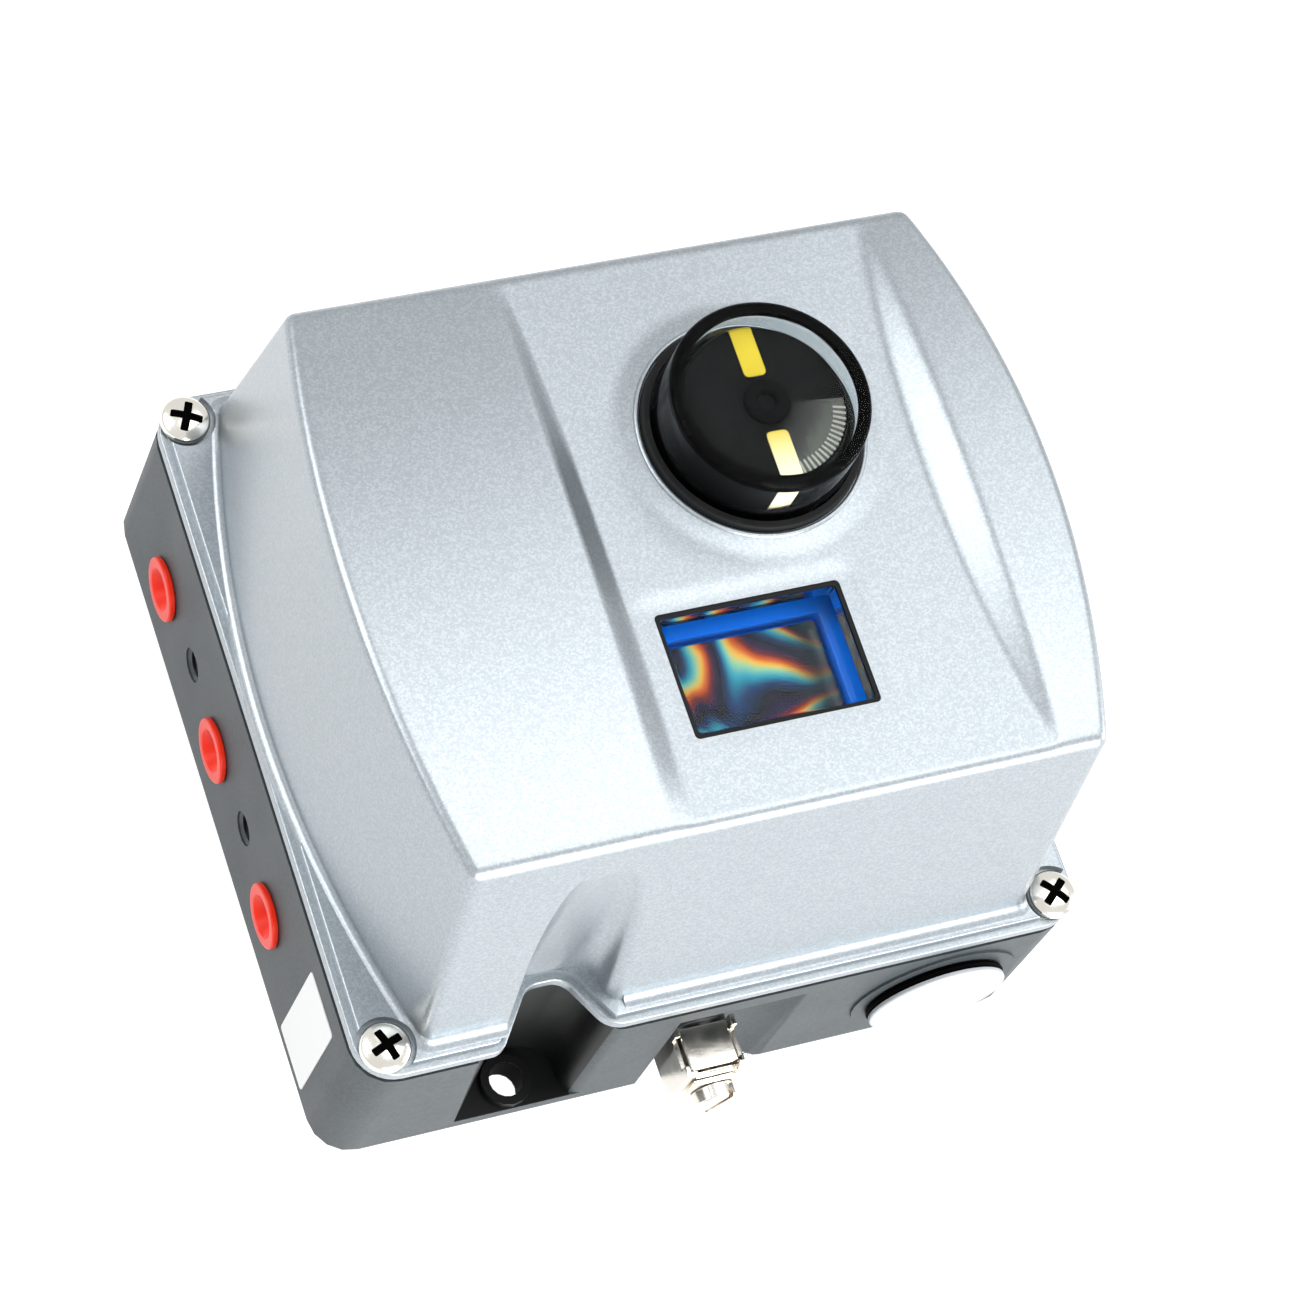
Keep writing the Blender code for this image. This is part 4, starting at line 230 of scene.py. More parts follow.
@dataclass(frozen=True)
class CastingPaint(Finish):
    """Grey stove enamel on a sand-textured casting: satin, finely grained, painted near black in the recess
    as shade.
    """

    name: str = "grey_casting_enamel"
    colour: str = "#3f4548"
    shade: str = "#34393c"
    tint: str = "#4b5255"
    grain: float = 0.7 * MM
    patch: float = 14.0 * MM
    # Painted shade: the near black that the recess takes, where little light gets in.
    bare: str = "#050607"
    recess_low: tuple[float, float, float] = (-46.0 * MM, -66.8 * MM, 0.3 * MM)
    recess_high: tuple[float, float, float] = (-22.0 * MM, -54.0 * MM, 37.9 * MM)

    def in_recess(self, tree: NodeTree, place: NodeSocket) -> NodeSocket:
        """Returns a socket that is 1 inside the recess and 0 elsewhere.

        Args:
            tree: The material's node tree.
            place: The place on the object.

        Returns:
            The mask.
        """
        middle = [(a + b) / 2 for a, b in zip(self.recess_low, self.recess_high)]
        half = [(b - a) / 2 for a, b in zip(self.recess_low, self.recess_high)]
        away = add(tree, "ShaderNodeVectorMath", {0: place, 1: middle}, operation="SUBTRACT")
        size = add(tree, "ShaderNodeVectorMath", {0: away.outputs[0]}, operation="ABSOLUTE")
        scaled = add(tree, "ShaderNodeVectorMath", {0: size.outputs[0], 1: half}, operation="DIVIDE")
        parts = add(tree, "ShaderNodeSeparateXYZ", {0: scaled.outputs[0]})
        first = add(tree, "ShaderNodeMath", {0: parts.outputs[0], 1: parts.outputs[1]}, operation="MAXIMUM")
        last = add(tree, "ShaderNodeMath", {0: first.outputs[0], 1: parts.outputs[2]}, operation="MAXIMUM")
        return add(tree, "ShaderNodeMath", {0: last.outputs[0], 1: 1.0}, operation="LESS_THAN").outputs[0]

    def shader(self, tree: NodeTree) -> Node:
        """Builds a grain that shows in tone, gloss and relief.

        Args:
            tree: The material's node tree.

        Returns:
            The last shader.
        """
        place = add(tree, "ShaderNodeTexCoord").outputs["Object"]
        fine = add(tree, "ShaderNodeTexNoise", {"Vector": place, "Scale": 1 / self.grain, "Detail": 3.0})
        broad = add(tree, "ShaderNodeTexNoise", {"Vector": place, "Scale": 1 / self.patch, "Detail": 2.0})
        tone = stops(add(tree, "ShaderNodeValToRGB", {"Fac": fine.outputs["Fac"]}),
                     (0.3, self.shade), (0.5, self.colour), (0.7, self.tint))
        base = add(tree, "ShaderNodeMix", {"Factor": broad.outputs["Fac"], MIX_A: linear(self.colour),
                                           MIX_B: tone.outputs["Color"]}, data_type="RGBA")
        # Painted shade: inside the recess the colour turns near black.
        deep = add(tree, "ShaderNodeMix", {"Factor": self.in_recess(tree, place),
                                           MIX_A: base.outputs[MIX_RESULT],
                                           MIX_B: linear(self.bare)}, data_type="RGBA")
        gloss = add(tree, "ShaderNodeMapRange", {"Value": broad.outputs["Fac"], "To Min": 0.42,
                                                 "To Max": 0.55})
        relief = add(tree, "ShaderNodeBump", {"Height": fine.outputs["Fac"], "Strength": 0.25,
                                              "Distance": 0.1 * MM})
        return add(tree, "ShaderNodeBsdfPrincipled", {
            "Base Color": deep.outputs[MIX_RESULT], "Metallic": 0.05, "Roughness": gloss.outputs[0],
            "Specular IOR Level": 0.3, "Normal": relief.outputs[0]})


@dataclass(frozen=True)
class MouldedPlastic(Finish):
    """Injection-moulded plastic: even colour, a fine spark-eroded grain and soft gloss."""

    name: str
    colour: str
    roughness: float
    # Spark-eroded grain is finer in life, and this is the finest that shows in the render.
    grain: float = 0.3 * MM
    depth: float = 0.1
    glow: float = 0.0
    shine: float = 0.5

    def shader(self, tree: NodeTree) -> Node:
        """Builds the grain as relief, with gloss that varies a little.

        Args:
            tree: The material's node tree.

        Returns:
            The last shader.
        """
        place = add(tree, "ShaderNodeTexCoord").outputs["Object"]
        fine = add(tree, "ShaderNodeTexNoise", {"Vector": place, "Scale": 1 / self.grain, "Detail": 2.0})
        gloss = add(tree, "ShaderNodeMapRange", {"Value": fine.outputs["Fac"],
                                                 "To Min": self.roughness - 0.05,
                                                 "To Max": self.roughness + 0.08})
        relief = add(tree, "ShaderNodeBump", {"Height": fine.outputs["Fac"], "Strength": self.depth,
                                              "Distance": 0.05 * MM})
        return add(tree, "ShaderNodeBsdfPrincipled", {
            "Base Color": linear(self.colour), "Roughness": gloss.outputs[0], "IOR": 1.5,
            "Specular IOR Level": self.shine, "Subsurface Weight": self.glow, "Subsurface Scale": 1.0 * MM,
            "Normal": relief.outputs[0]})


@dataclass(frozen=True)
class PlatedMetal(Finish):
    """Plated or machined metal: a mirror broken by fine tool marks and a slight clouding."""

    name: str
    colour: str
    roughness: float
    # Tool marks are finer in life, and these are the finest that show in the render.
    mark: float = 0.25 * MM
    cloud: float = 3.0 * MM
    depth: float = 0.2

    def shader(self, tree: NodeTree) -> Node:
        """Builds tool marks as relief and clouding as gloss.

        Args:
            tree: The material's node tree.

        Returns:
            The last shader.
        """
        place = add(tree, "ShaderNodeTexCoord").outputs["Object"]
        marks = add(tree, "ShaderNodeTexNoise", {"Vector": place, "Scale": 1 / self.mark, "Detail": 3.0})
        cloud = add(tree, "ShaderNodeTexNoise", {"Vector": place, "Scale": 1 / self.cloud, "Detail": 2.0})
        gloss = add(tree, "ShaderNodeMapRange", {"Value": cloud.outputs["Fac"],
                                                 "To Min": self.roughness - 0.08,
                                                 "To Max": self.roughness + 0.12})
        relief = add(tree, "ShaderNodeBump", {"Height": marks.outputs["Fac"], "Strength": self.depth,
                                              "Distance": 0.05 * MM})
        return add(tree, "ShaderNodeBsdfPrincipled", {
            "Base Color": linear(self.colour), "Metallic": 1.0, "Roughness": gloss.outputs[0],
            "Normal": relief.outputs[0]})


@dataclass(frozen=True)
class CircuitBoard(Finish):
    """Glass-fibre circuit board: green solder mask with brighter copper runs under it."""

    name: str = "circuit_board"
    colour: str = "#1f5d3a"
    copper: str = "#3c8a55"
    pitch: float = 2.5 * MM

    def shader(self, tree: NodeTree) -> Node:
        """Builds the runs as a grid of bars.

        Args:
            tree: The material's node tree.

        Returns:
            The last shader.
        """
        place = add(tree, "ShaderNodeTexCoord").outputs["Object"]
        runs = add(tree, "ShaderNodeTexBrick", {"Vector": place, "Scale": 1 / self.pitch / 4,
                                                "Color1": linear(self.colour),
                                                "Color2": linear(self.colour),
                                                "Mortar": linear(self.copper)})
        return add(tree, "ShaderNodeBsdfPrincipled", {
            "Base Color": runs.outputs["Color"], "Roughness": 0.3, "Coat Weight": 0.5})


@dataclass(frozen=True)
class ClearPolycarbonate(Finish):
    """Clear moulded polycarbonate: glass-like, with faint flow waves and the least surface haze."""

    name: str = "clear_polycarbonate"
    tint: str = "#f6fafa"
    wave: float = 9.0 * MM
    bend: float = 1.12

    def shader(self, tree: NodeTree) -> Node:
        """Builds a refracting body that lets light through to what it covers.

        Args:
            tree: The material's node tree.

        Returns:
            The last shader.
        """
        place = add(tree, "ShaderNodeTexCoord").outputs["Object"]
        waves = add(tree, "ShaderNodeTexNoise", {"Vector": place, "Scale": 1 / self.wave})
        relief = add(tree, "ShaderNodeBump", {"Height": waves.outputs["Fac"], "Strength": 0.05,
                                              "Distance": 0.3 * MM})
        body = add(tree, "ShaderNodeBsdfPrincipled", {
            "Base Color": linear(self.tint), "Roughness": 0.02, "IOR": self.bend,
            "Transmission Weight": 1.0, "Normal": relief.outputs[0]})
        open_way = add(tree, "ShaderNodeBsdfTransparent", {"Color": linear(self.tint)})
        light = add(tree, "ShaderNodeLightPath")
        return add(tree, "ShaderNodeMixShader", {0: light.outputs["Is Shadow Ray"],
                                                 1: body.outputs[0], 2: open_way.outputs[0]})


@dataclass(frozen=True)
class LiquidCrystal(Finish):
    """Liquid crystal cell that is off: near black glass with rainbow bands where the film is strained."""

    name: str = "liquid_crystal_cell"
    saddle: tuple[float, float] = (-1.0 * MM, -29.0 * MM)
    band: float = 8.6 * MM
    swirl: float = 20.0 * MM
    # Where the painted shade at the cell's right edge begins and where it is full.
    fade: tuple[float, float] = (9.0 * MM, 15.0 * MM)

    def shader(self, tree: NodeTree) -> Node:
        """Builds the bands round a saddle, bent by a slow noise, and painted darker towards the cell's right
        edge as shade from the window's side.

        Args:
            tree: The material's node tree.

        Returns:
            The last shader.
        """
        place = add(tree, "ShaderNodeTexCoord").outputs["Object"]
        away = add(tree, "ShaderNodeVectorMath", {0: place, 1: (*self.saddle, 0.0)}, operation="SUBTRACT")
        parts = add(tree, "ShaderNodeSeparateXYZ", {0: away.outputs[0]})
        across = add(tree, "ShaderNodeMath", {0: parts.outputs[0], 1: self.band}, operation="DIVIDE")
        along = add(tree, "ShaderNodeMath", {0: parts.outputs[1], 1: self.band}, operation="DIVIDE")
        strain = add(tree, "ShaderNodeMath", {0: across.outputs[0], 1: along.outputs[0]},
                     operation="MULTIPLY")
        warp = add(tree, "ShaderNodeTexNoise", {"Vector": place, "Scale": 1 / self.swirl, "Detail": 1.0,
                                                "Distortion": 0.8})
        bent = add(tree, "ShaderNodeMath", {0: warp.outputs["Fac"], 1: 2.0, 2: strain.outputs[0]},
                   operation="MULTIPLY_ADD")
        phase = add(tree, "ShaderNodeMath", {0: bent.outputs[0]}, operation="FRACT")
        tone = stops(add(tree, "ShaderNodeValToRGB", {"Fac": phase.outputs[0]}),
                     (0.0, "#07090f"), (0.16, "#0d2f56"), (0.30, "#1f8296"), (0.42, "#7ba683"),
                     (0.52, "#c99c3c"), (0.62, "#b84e18"), (0.74, "#5e1414"), (0.86, "#1d1233"),
                     (1.0, "#07090f"))
        # Painted shade: the bands sink into dark navy towards the right edge.
        edge = add(tree, "ShaderNodeSeparateXYZ", {0: place})
        right_edge_shade = add(tree, "ShaderNodeMapRange", {"Value": edge.outputs[0], "From Min": self.fade[0],
                                               "From Max": self.fade[1], "To Max": 0.9})
        base = add(tree, "ShaderNodeMix", {"Factor": right_edge_shade.outputs[0], MIX_A: tone.outputs["Color"],
                                           MIX_B: linear("#07121a")}, data_type="RGBA")
        return add(tree, "ShaderNodeBsdfPrincipled", {
            "Base Color": base.outputs[MIX_RESULT], "Roughness": 0.2, "Specular IOR Level": 0.15})


@dataclass(frozen=True)
class SignalFilm(Finish):
    """Yellow signal film on the front stripe, painted paler towards the drum's edge as the reflection on the
    dome's wall over it.
    """

    name: str = "signal_film_painted_reflection"
    colour: str = "#ad9626"
    # The pale tint is painted reflection from the dome's wall, not the film's own colour.
    bleached: str = "#d6cba8"
    start: float = 11.0 * MM
    end: float = 3.5 * MM
    grain: float = 0.3 * MM

    def shader(self, tree: NodeTree) -> Node:
        """Builds a colour that pales with the distance from the hub, as painted reflection, on a fine grain.

        Args:
            tree: The material's node tree.

        Returns:
            The last shader.
        """
        place = add(tree, "ShaderNodeTexCoord").outputs["Object"]
        parts = add(tree, "ShaderNodeSeparateXYZ", {0: place})
        pale = add(tree, "ShaderNodeMapRange", {"Value": parts.outputs[1], "From Min": self.end,
                                                "From Max": self.start, "To Min": 1.0, "To Max": 0.0})
        base = add(tree, "ShaderNodeMix", {"Factor": pale.outputs[0], MIX_A: linear(self.colour),
                                           MIX_B: linear(self.bleached)}, data_type="RGBA")
        fine = add(tree, "ShaderNodeTexNoise", {"Vector": place, "Scale": 1 / self.grain})
        relief = add(tree, "ShaderNodeBump", {"Height": fine.outputs["Fac"], "Strength": 0.1,
                                              "Distance": 0.05 * MM})
        return add(tree, "ShaderNodeBsdfPrincipled", {
            "Base Color": base.outputs[MIX_RESULT], "Roughness": 0.4, "Specular IOR Level": 0.1,
            "Normal": relief.outputs[0]})


@dataclass(frozen=True)
class PaintedLightFan(Finish):
    """Grey fan of painted light on the drum: palest at its outer middle, broken by speckle."""

    name: str = "fan_light_painted"
    centre: tuple[float, float, float] = (15.0 * MM, 16.0 * MM, 0.0)
    middle: float = -44.0
    reach: float = 14.0 * MM
    speckle: float = 0.5 * MM

    def shader(self, tree: NodeTree) -> Node:
        """Builds a tone that rises along the fan's middle, broken by speckle.

        Args:
            tree: The material's node tree.

        Returns:
            The last shader.
        """
        place = add(tree, "ShaderNodeTexCoord").outputs["Object"]
        away = add(tree, "ShaderNodeVectorMath", {0: place, 1: self.centre}, operation="SUBTRACT")
        turn = math.radians(self.middle)
        way = (math.cos(turn), math.sin(turn), 0.0)
        along = add(tree, "ShaderNodeVectorMath", {0: away.outputs[0], 1: way}, operation="DOT_PRODUCT")
        grain = add(tree, "ShaderNodeTexNoise", {"Vector": place, "Scale": 1 / self.speckle, "Detail": 2.0})
        far = add(tree, "ShaderNodeMath", {0: along.outputs["Value"], 1: self.reach}, operation="DIVIDE")
        spread = add(tree, "ShaderNodeMath", {0: grain.outputs["Fac"], 1: 0.35, 2: far.outputs[0]},
                     operation="MULTIPLY_ADD")
        tone = stops(add(tree, "ShaderNodeValToRGB", {"Fac": spread.outputs[0]}),
                     (0.45, "#0c0c0c"), (0.75, "#2b2b2a"), (0.95, "#4b4b47"))
        return add(tree, "ShaderNodeBsdfPrincipled", {
            "Base Color": tone.outputs["Color"], "Roughness": 0.5, "Specular IOR Level": 0.1})


SILVER = SilverLacquer()
ENAMEL = CastingPaint()
BOARD = CircuitBoard()
CLEAR = ClearPolycarbonate()
DOME_CLEAR = ClearPolycarbonate("clear_dome_acrylic", bend=1.09)
CRYSTAL = LiquidCrystal()
YELLOW_PAINTED_REFLECTION = SignalFilm()
PAINTED_LIGHT_FAN = PaintedLightFan()
# Rubber is matt, so its black hardly changes with the angle.
RUBBER = MouldedPlastic("black_nitrile_rubber", "#0b0c0d", 0.6, depth=0.2, shine=0.2)
# Polyethylene is waxy and lets a little light in, which warms its red.
RED = MouldedPlastic("red_polyethylene", "#ee2e12", 0.32, grain=0.4 * MM, glow=0.1, shine=0.3)
# Natural polyamide is a clean white with a soft sheen.
WHITE = MouldedPlastic("white_polyamide", "#b2b6ba", 0.38, grain=0.4 * MM, glow=0.05)
# Black polyamide is half matt with a visible grain.
BLACK = MouldedPlastic("black_polyamide", "#101314", 0.42, depth=0.15)
# The drum under the dome is near black and takes almost no highlight.
DRUM = MouldedPlastic("black_drum_plastic", "#060606", 0.5, shine=0.04)
# Pitch black, almost without gloss: the hub's and washer's own black, and painted shade in slots, holes and
# round the dome.
BLACK_AND_PAINTED_SHADE = MouldedPlastic("black_and_painted_shade", "#010101", 0.6, shine=0.02)
# The ribs at the drum's rim are real serrations, painted a dry pale grey as their glint.
RIBS_PAINTED_GLINT = MouldedPlastic("rib_painted_glint", "#86867e", 0.5)
# Signal plastic is a strong yellow, half matt under the dome.
YELLOW = MouldedPlastic("yellow_signal_plastic", "#a89224", 0.4, glow=0.05, shine=0.1)
# Moulded ABS is a full blue that stays even behind the window.
BLUE = MouldedPlastic("blue_moulded_abs", "#0062d2", 0.45, shine=0.03)
# Label film is flat and bright.
LABEL = MouldedPlastic("white_label_film", "#f3f4f4", 0.5, grain=0.2 * MM, depth=0.05)
# Nickel on brass is warm and mirrors softly.
NICKEL = PlatedMetal("nickel_plated_brass", "#f0eae0", 0.18)
# Nickel on steel is cooler and mirrors more sharply.
SCREW = PlatedMetal("nickel_plated_steel", "#dddad2", 0.16)
# Turned steel spreads its highlight along the tool marks.
STEEL = PlatedMetal("turned_stainless_steel", "#c4c7c9", 0.30)
# Sintered bronze is brown and coarse.
BRONZE = PlatedMetal("sintered_bronze", "#b98a52", 0.45, mark=0.5 * MM, cloud=2.0 * MM, depth=0.5)
# Machined aluminium is pale and half bright.
ALUMINIUM = PlatedMetal("machined_aluminium", "#cfd2d4", 0.33)
# The cut thread is a dark grey metal.
THREAD = PlatedMetal("oiled_thread", "#4a4e50", 0.30)


def collection() -> bpy.types.Collection:
    """Returns the collection that holds the scene's own pieces.

    Returns:
        The collection, made at the first call.
    """
    found = bpy.data.collections.get("valve_positioner_looks")
    if found is None:
        found = bpy.data.collections.new("valve_positioner_looks")
        bpy.context.scene.collection.children.link(found)
    return found


def as_object(name: str, shape: BMesh) -> Object:
    """Makes an object of a mesh in work, with its normals outwards.

    Args:
        name: The object's name.
        shape: The mesh in work, which is freed.

    Returns:
        The new object, linked to the scene.
    """
    bmesh.ops.recalc_face_normals(shape, faces=shape.faces)
    mesh = bpy.data.meshes.new(name)
    shape.to_mesh(mesh)
    shape.free()
    thing = bpy.data.objects.new(name, mesh)
    collection().objects.link(thing)
    return thing


def combine(target: Object, operation: str, tools: Iterable[Object]) -> Object:
    """Cuts solids out of a piece or joins them to it.

    Args:
        target: The piece that is changed.
        operation: "DIFFERENCE", "UNION" or "INTERSECT".
        tools: The solids, which are removed afterwards.

    Returns:
        The same piece.
    """
    for tool in tools:
        modifier = target.modifiers.new("work", "BOOLEAN")
        modifier.operation = operation
        modifier.solver = "EXACT"
        modifier.object = tool
        graph = bpy.context.evaluated_depsgraph_get()
        made = bpy.data.meshes.new_from_object(target.evaluated_get(graph))
        target.modifiers.clear()
        old = target.data
        target.data = made
        bpy.data.meshes.remove(old)
        bpy.data.objects.remove(tool)
    return target


def edit(target: Object) -> BMesh:
    """Opens a piece's mesh for work with bmesh.

    Args:
        target: The piece.

    Returns:
        The mesh in work.
    """
    shape = bmesh.new()
    shape.from_mesh(target.data)
    return shape


def close(target: Object, shape: BMesh) -> Object:
    """Writes the work back to the piece.

    Args:
        target: The piece.
        shape: The mesh in work, which is freed.

    Returns:
        The same piece.
    """
    shape.to_mesh(target.data)
    shape.free()
    return target


def round_over(target: Object, width: float, segments: int = 2, angle: float = SHARP) -> Object:
    """Rounds the edges that are sharper than an angle.

    Args:
        target: The piece.
        width: How far the rounding reaches from the edge.
        segments: Faces across the rounding.
        angle: Edges flatter than this many degrees stay.

    Returns:
        The same piece.
    """
    shape = edit(target)
    bmesh.ops.remove_doubles(shape, verts=shape.verts, dist=0.00001)
    bmesh.ops.dissolve_limit(shape, angle_limit=math.radians(0.5), verts=shape.verts, edges=shape.edges)
    sharp = [e for e in shape.edges if e.is_manifold and e.calc_face_angle(0.0) > math.radians(angle)]
    bmesh.ops.bevel(shape, geom=sharp, offset=width, segments=segments, profile=0.5, affect="EDGES",
                    clamp_overlap=True, material=-1)
    return close(target, shape)


def show(piece: Object, finish: Finish, body: Body, stands_for: Sequence[str] = (),
         angle: float = SHARP) -> Object:
    """Dresses a finished piece and puts it on its body.

    Args:
        piece: The piece.
        finish: Its surface finish.
        body: The body it rides on.
        stands_for: The nodes of the model that it replaces.
        angle: Edges sharper than this many degrees stay sharp.

    Returns:
        The same piece.
    """
    piece.data.materials.clear()
    piece.data.materials.append(finish.material())
    piece.data.shade_smooth()
    piece.data.set_sharp_from_angle(angle=math.radians(angle))
    for face in piece.data.polygons:
        face.material_index = 0
    modifier = piece.modifiers.new("weighted_normals", "WEIGHTED_NORMAL")
    modifier.keep_sharp = True
    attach(piece, body.value)
    if stands_for:
        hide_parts(*stands_for)
    log.info("%s: %d faces on %s", piece.name, len(piece.data.polygons), body.value)
    return piece


def turned(name: str, profile: Sequence[tuple[float, float]], centre: Vector,
           facing: Facing = Facing.UP, steps: int = 64) -> Object:
    """Turns a profile of radius and height round an axis.

    Args:
        name: The piece's name.
        profile: Radius and height of each point, in metres, closed back to its start.
        centre: Where radius 0 and height 0 lie.
        facing: The way the axis points.
        steps: Faces round the axis.

    Returns:
        The turned piece.
    """
    shape = bmesh.new()
    ring = [shape.verts.new((r, 0.0, z)) for r, z in profile]
    edges = [shape.edges.new((a, b)) for a, b in zip(ring, ring[1:] + ring[:1])]
    bmesh.ops.spin(shape, geom=ring + edges, cent=(0, 0, 0), axis=(0, 0, 1), angle=math.tau,
                   steps=steps, use_merge=True)
    bmesh.ops.remove_doubles(shape, verts=shape.verts, dist=0.000002)
    loose = [f for f in shape.faces if f.calc_area() < 1e-14]
    bmesh.ops.delete(shape, geom=loose, context="FACES")
    bmesh.ops.transform(shape, matrix=Matrix.Translation(centre) @ facing.value, verts=shape.verts)
    return as_object(name, shape)


def slab(name: str, outline: Sequence[tuple[float, float]], low: float, high: float,
         turn: Matrix | None = None) -> Object:
    """Raises a flat outline to a plate.

    Args:
        name: The piece's name.
        outline: Corners in plan.
        low: The plate's lower height.
        high: The plate's upper height.
        turn: A placing of the finished plate.

    Returns:
        The plate.
    """
    shape = bmesh.new()
    face = shape.faces.new([shape.verts.new((x, y, low)) for x, y in outline])
    grown = bmesh.ops.extrude_face_region(shape, geom=[face])["geom"]
    bmesh.ops.translate(shape, vec=(0, 0, high - low), verts=[g for g in grown if isinstance(g, BMVert)])
    if turn is not None:
        bmesh.ops.transform(shape, matrix=turn, verts=shape.verts)
    return as_object(name, shape)


def arc(centre: tuple[float, float], radius: float, start: float, end: float,
        steps: int) -> list[tuple[float, float]]:
    """Points along an arc in plan, from one angle to another in degrees.

    Args:
        centre: The arc's centre.
        radius: Its radius.
        start: The first point's angle in degrees.
        end: The last point's angle in degrees.
        steps: Pieces of the arc.

    Returns:
        The points.
    """
    angles = [math.radians(start + (end - start) * i / steps) for i in range(steps + 1)]
    return [(centre[0] + radius * math.cos(a), centre[1] + radius * math.sin(a)) for a in angles]


def circle(x: float, y: float, radius: float, sides: int) -> list[tuple[float, float]]:
    """Corner points of a round outline in plan."""
    return arc((x, y), radius, 0, 360 - 360 / sides, sides - 1)


def rounded_rectangle(half_x: float, half_y: float, radius: float, x: float = 0.0, y: float = 0.0,
                      steps: int = 8) -> list[tuple[float, float]]:
    """Outlines a rectangle with round corners.

    Args:
        half_x: Half its width.
        half_y: Half its depth.
        radius: Its corners' radius.
        x: Its middle's place across.
        y: Its middle's place in depth.
        steps: Pieces of each corner.

    Returns:
        The outline's points.
    """
    points = []
    for sign_x, sign_y, start in ((1, 1, 0), (-1, 1, 90), (-1, -1, 180), (1, -1, 270)):
        centre = (x + sign_x * (half_x - radius), y + sign_y * (half_y - radius))
        points.extend(arc(centre, radius, start, start + 90, steps))
    return points


def softened(node: str, width: float, segments: int = 2, angle: float = SHARP) -> Object:
    """Copies a node of the model and rounds its edges.

    Args:
        node: The node's name.
        width: How far the rounding reaches.
        segments: Faces across the rounding.
        angle: Edges flatter than this many degrees stay.

    Returns:
        The copy, which isn't dressed yet.
    """
    copy = bpy.data.objects.new(node + "_dressed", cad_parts[node].data.copy())
    collection().objects.link(copy)
    return round_over(copy, width, segments, angle)


@dataclass
class Studio:
    """Camera, lamps, white surroundings and floor."""

    eye: tuple[float, float, float] = (-0.30895, -0.29071, 0.80560)
    heading: float = 42.902
    elevation: float = -60.623
    roll: float = 31.757
    lens: float = 134.31
    sensor: float = 36.0
    aim: float = 60.0 * MM
    ambient: float = 0.36
    floor_size: float = 12.0
    floor_gap: float = 0.1 * MM
    floor_depth: float = 10.0 * MM
    floor_lift: float = 0.62

    def camera(self) -> None:
        """Places the camera at the photograph's viewing angle."""
        heading, elevation, roll = (math.radians(a) for a in (self.heading, self.elevation, self.roll))
        forward = Vector((math.cos(heading) * math.cos(elevation),
                          math.sin(heading) * math.cos(elevation), math.sin(elevation)))
        level = forward.cross(Vector((0, 0, 1))).normalized()
        right = level * math.cos(roll) + level.cross(forward) * math.sin(roll)
        turn = Matrix((right, right.cross(forward), -forward)).transposed().to_4x4()
        data = bpy.data.cameras.new("camera")
        data.lens = self.lens
        data.sensor_width = self.sensor
        thing = bpy.data.objects.new("camera", data)
        thing.matrix_world = Matrix.Translation(self.eye) @ turn
        collection().objects.link(thing)
        bpy.context.scene.camera = thing

    def lamp(self, name: str, place: tuple[float, float, float], width: float, height: float,
             watts: float) -> None:
        """Hangs a soft lamp that faces the object's middle.

        Args:
            name: The lamp's name.
            place: Where it hangs.
            width: Its level side.
            height: Its other side.
            watts: Its power.
        """
        data = bpy.data.lights.new(name, "AREA")
        data.shape = "RECTANGLE"
        data.size = width
        data.size_y = height
        data.energy = watts
        thing = bpy.data.objects.new(name, data)
        beam = Vector((0, 0, self.aim)) - Vector(place)
        thing.matrix_world = Matrix.Translation(place) @ beam.to_track_quat("-Z", "Y").to_matrix().to_4x4()
        collection().objects.link(thing)

    def surroundings(self) -> None:
        """Sets an even soft light and the white that the camera, metal and glass see."""
        world = bpy.data.worlds.new("surroundings")
        world.use_nodes = True
        tree = world.node_tree
        tree.nodes.clear()
        soft, white = (add(tree, "ShaderNodeBackground", {"Color": linear("#ffffff"), "Strength": strength})
                       for strength in (self.ambient, 1.0))
        mixed = add(tree, "ShaderNodeMixShader", {0: seen_directly(tree), 1: soft.outputs[0],
                                                  2: white.outputs[0]})
        add(tree, "ShaderNodeOutputWorld", {"Surface": mixed.outputs[0]})
        bpy.context.scene.world = world
        bpy.context.scene.view_settings.view_transform = "Standard"

    def floor(self) -> None:
        """Lays a white floor under the object, which keeps the object's shadow."""
        half = self.floor_size / 2
        low = CAD_BOX[0][2]
        sheet = slab("floor", [(-half, -half), (half, -half), (half, half), (-half, half)],
                     low - self.floor_depth, low - self.floor_gap)
        made = bpy.data.materials.new("white_floor")
        made.use_nodes = True
        tree = made.node_tree
        tree.nodes.clear()
        paper = add(tree, "ShaderNodeBsdfDiffuse", {"Color": linear("#d9d9d9")})
        lift = add(tree, "ShaderNodeEmission", {"Color": linear("#ffffff"),
                                                "Strength": self.floor_lift})
        lifted = add(tree, "ShaderNodeAddShader", {0: paper.outputs[0], 1: lift.outputs[0]})
        mixed = add(tree, "ShaderNodeMixShader", {0: seen_directly(tree), 1: paper.outputs[0],
                                                  2: lifted.outputs[0]})
        add(tree, "ShaderNodeOutputMaterial", {"Surface": mixed.outputs[0]})
        sheet.data.materials.append(made)

    def build(self) -> None:
        """Sets the whole studio, with lamps where the cover's faces mirror them to the camera."""
        self.camera()
        self.surroundings()
        self.lamp("softbox_key", (0.62, 0.27, 1.50), 0.9, 1.4, 6.2)
        self.lamp("softbox_crest", (0.60, -0.06, 1.58), 0.5, 0.9, 3.8)
        self.lamp("softbox_left", (-1.15, 0.58, 1.02), 1.3, 0.45, 10.0)
        self.lamp("softbox_lens", (-0.76, 0.55, 1.38), 0.4, 0.4, 4.2)
        self.lamp("softbox_front", (0.20, -1.65, 0.58), 1.2, 1.0, 45.0)
        self.lamp("softbox_right", (1.50, -0.50, 0.40), 0.9, 0.9, 12.0)
        self.floor()


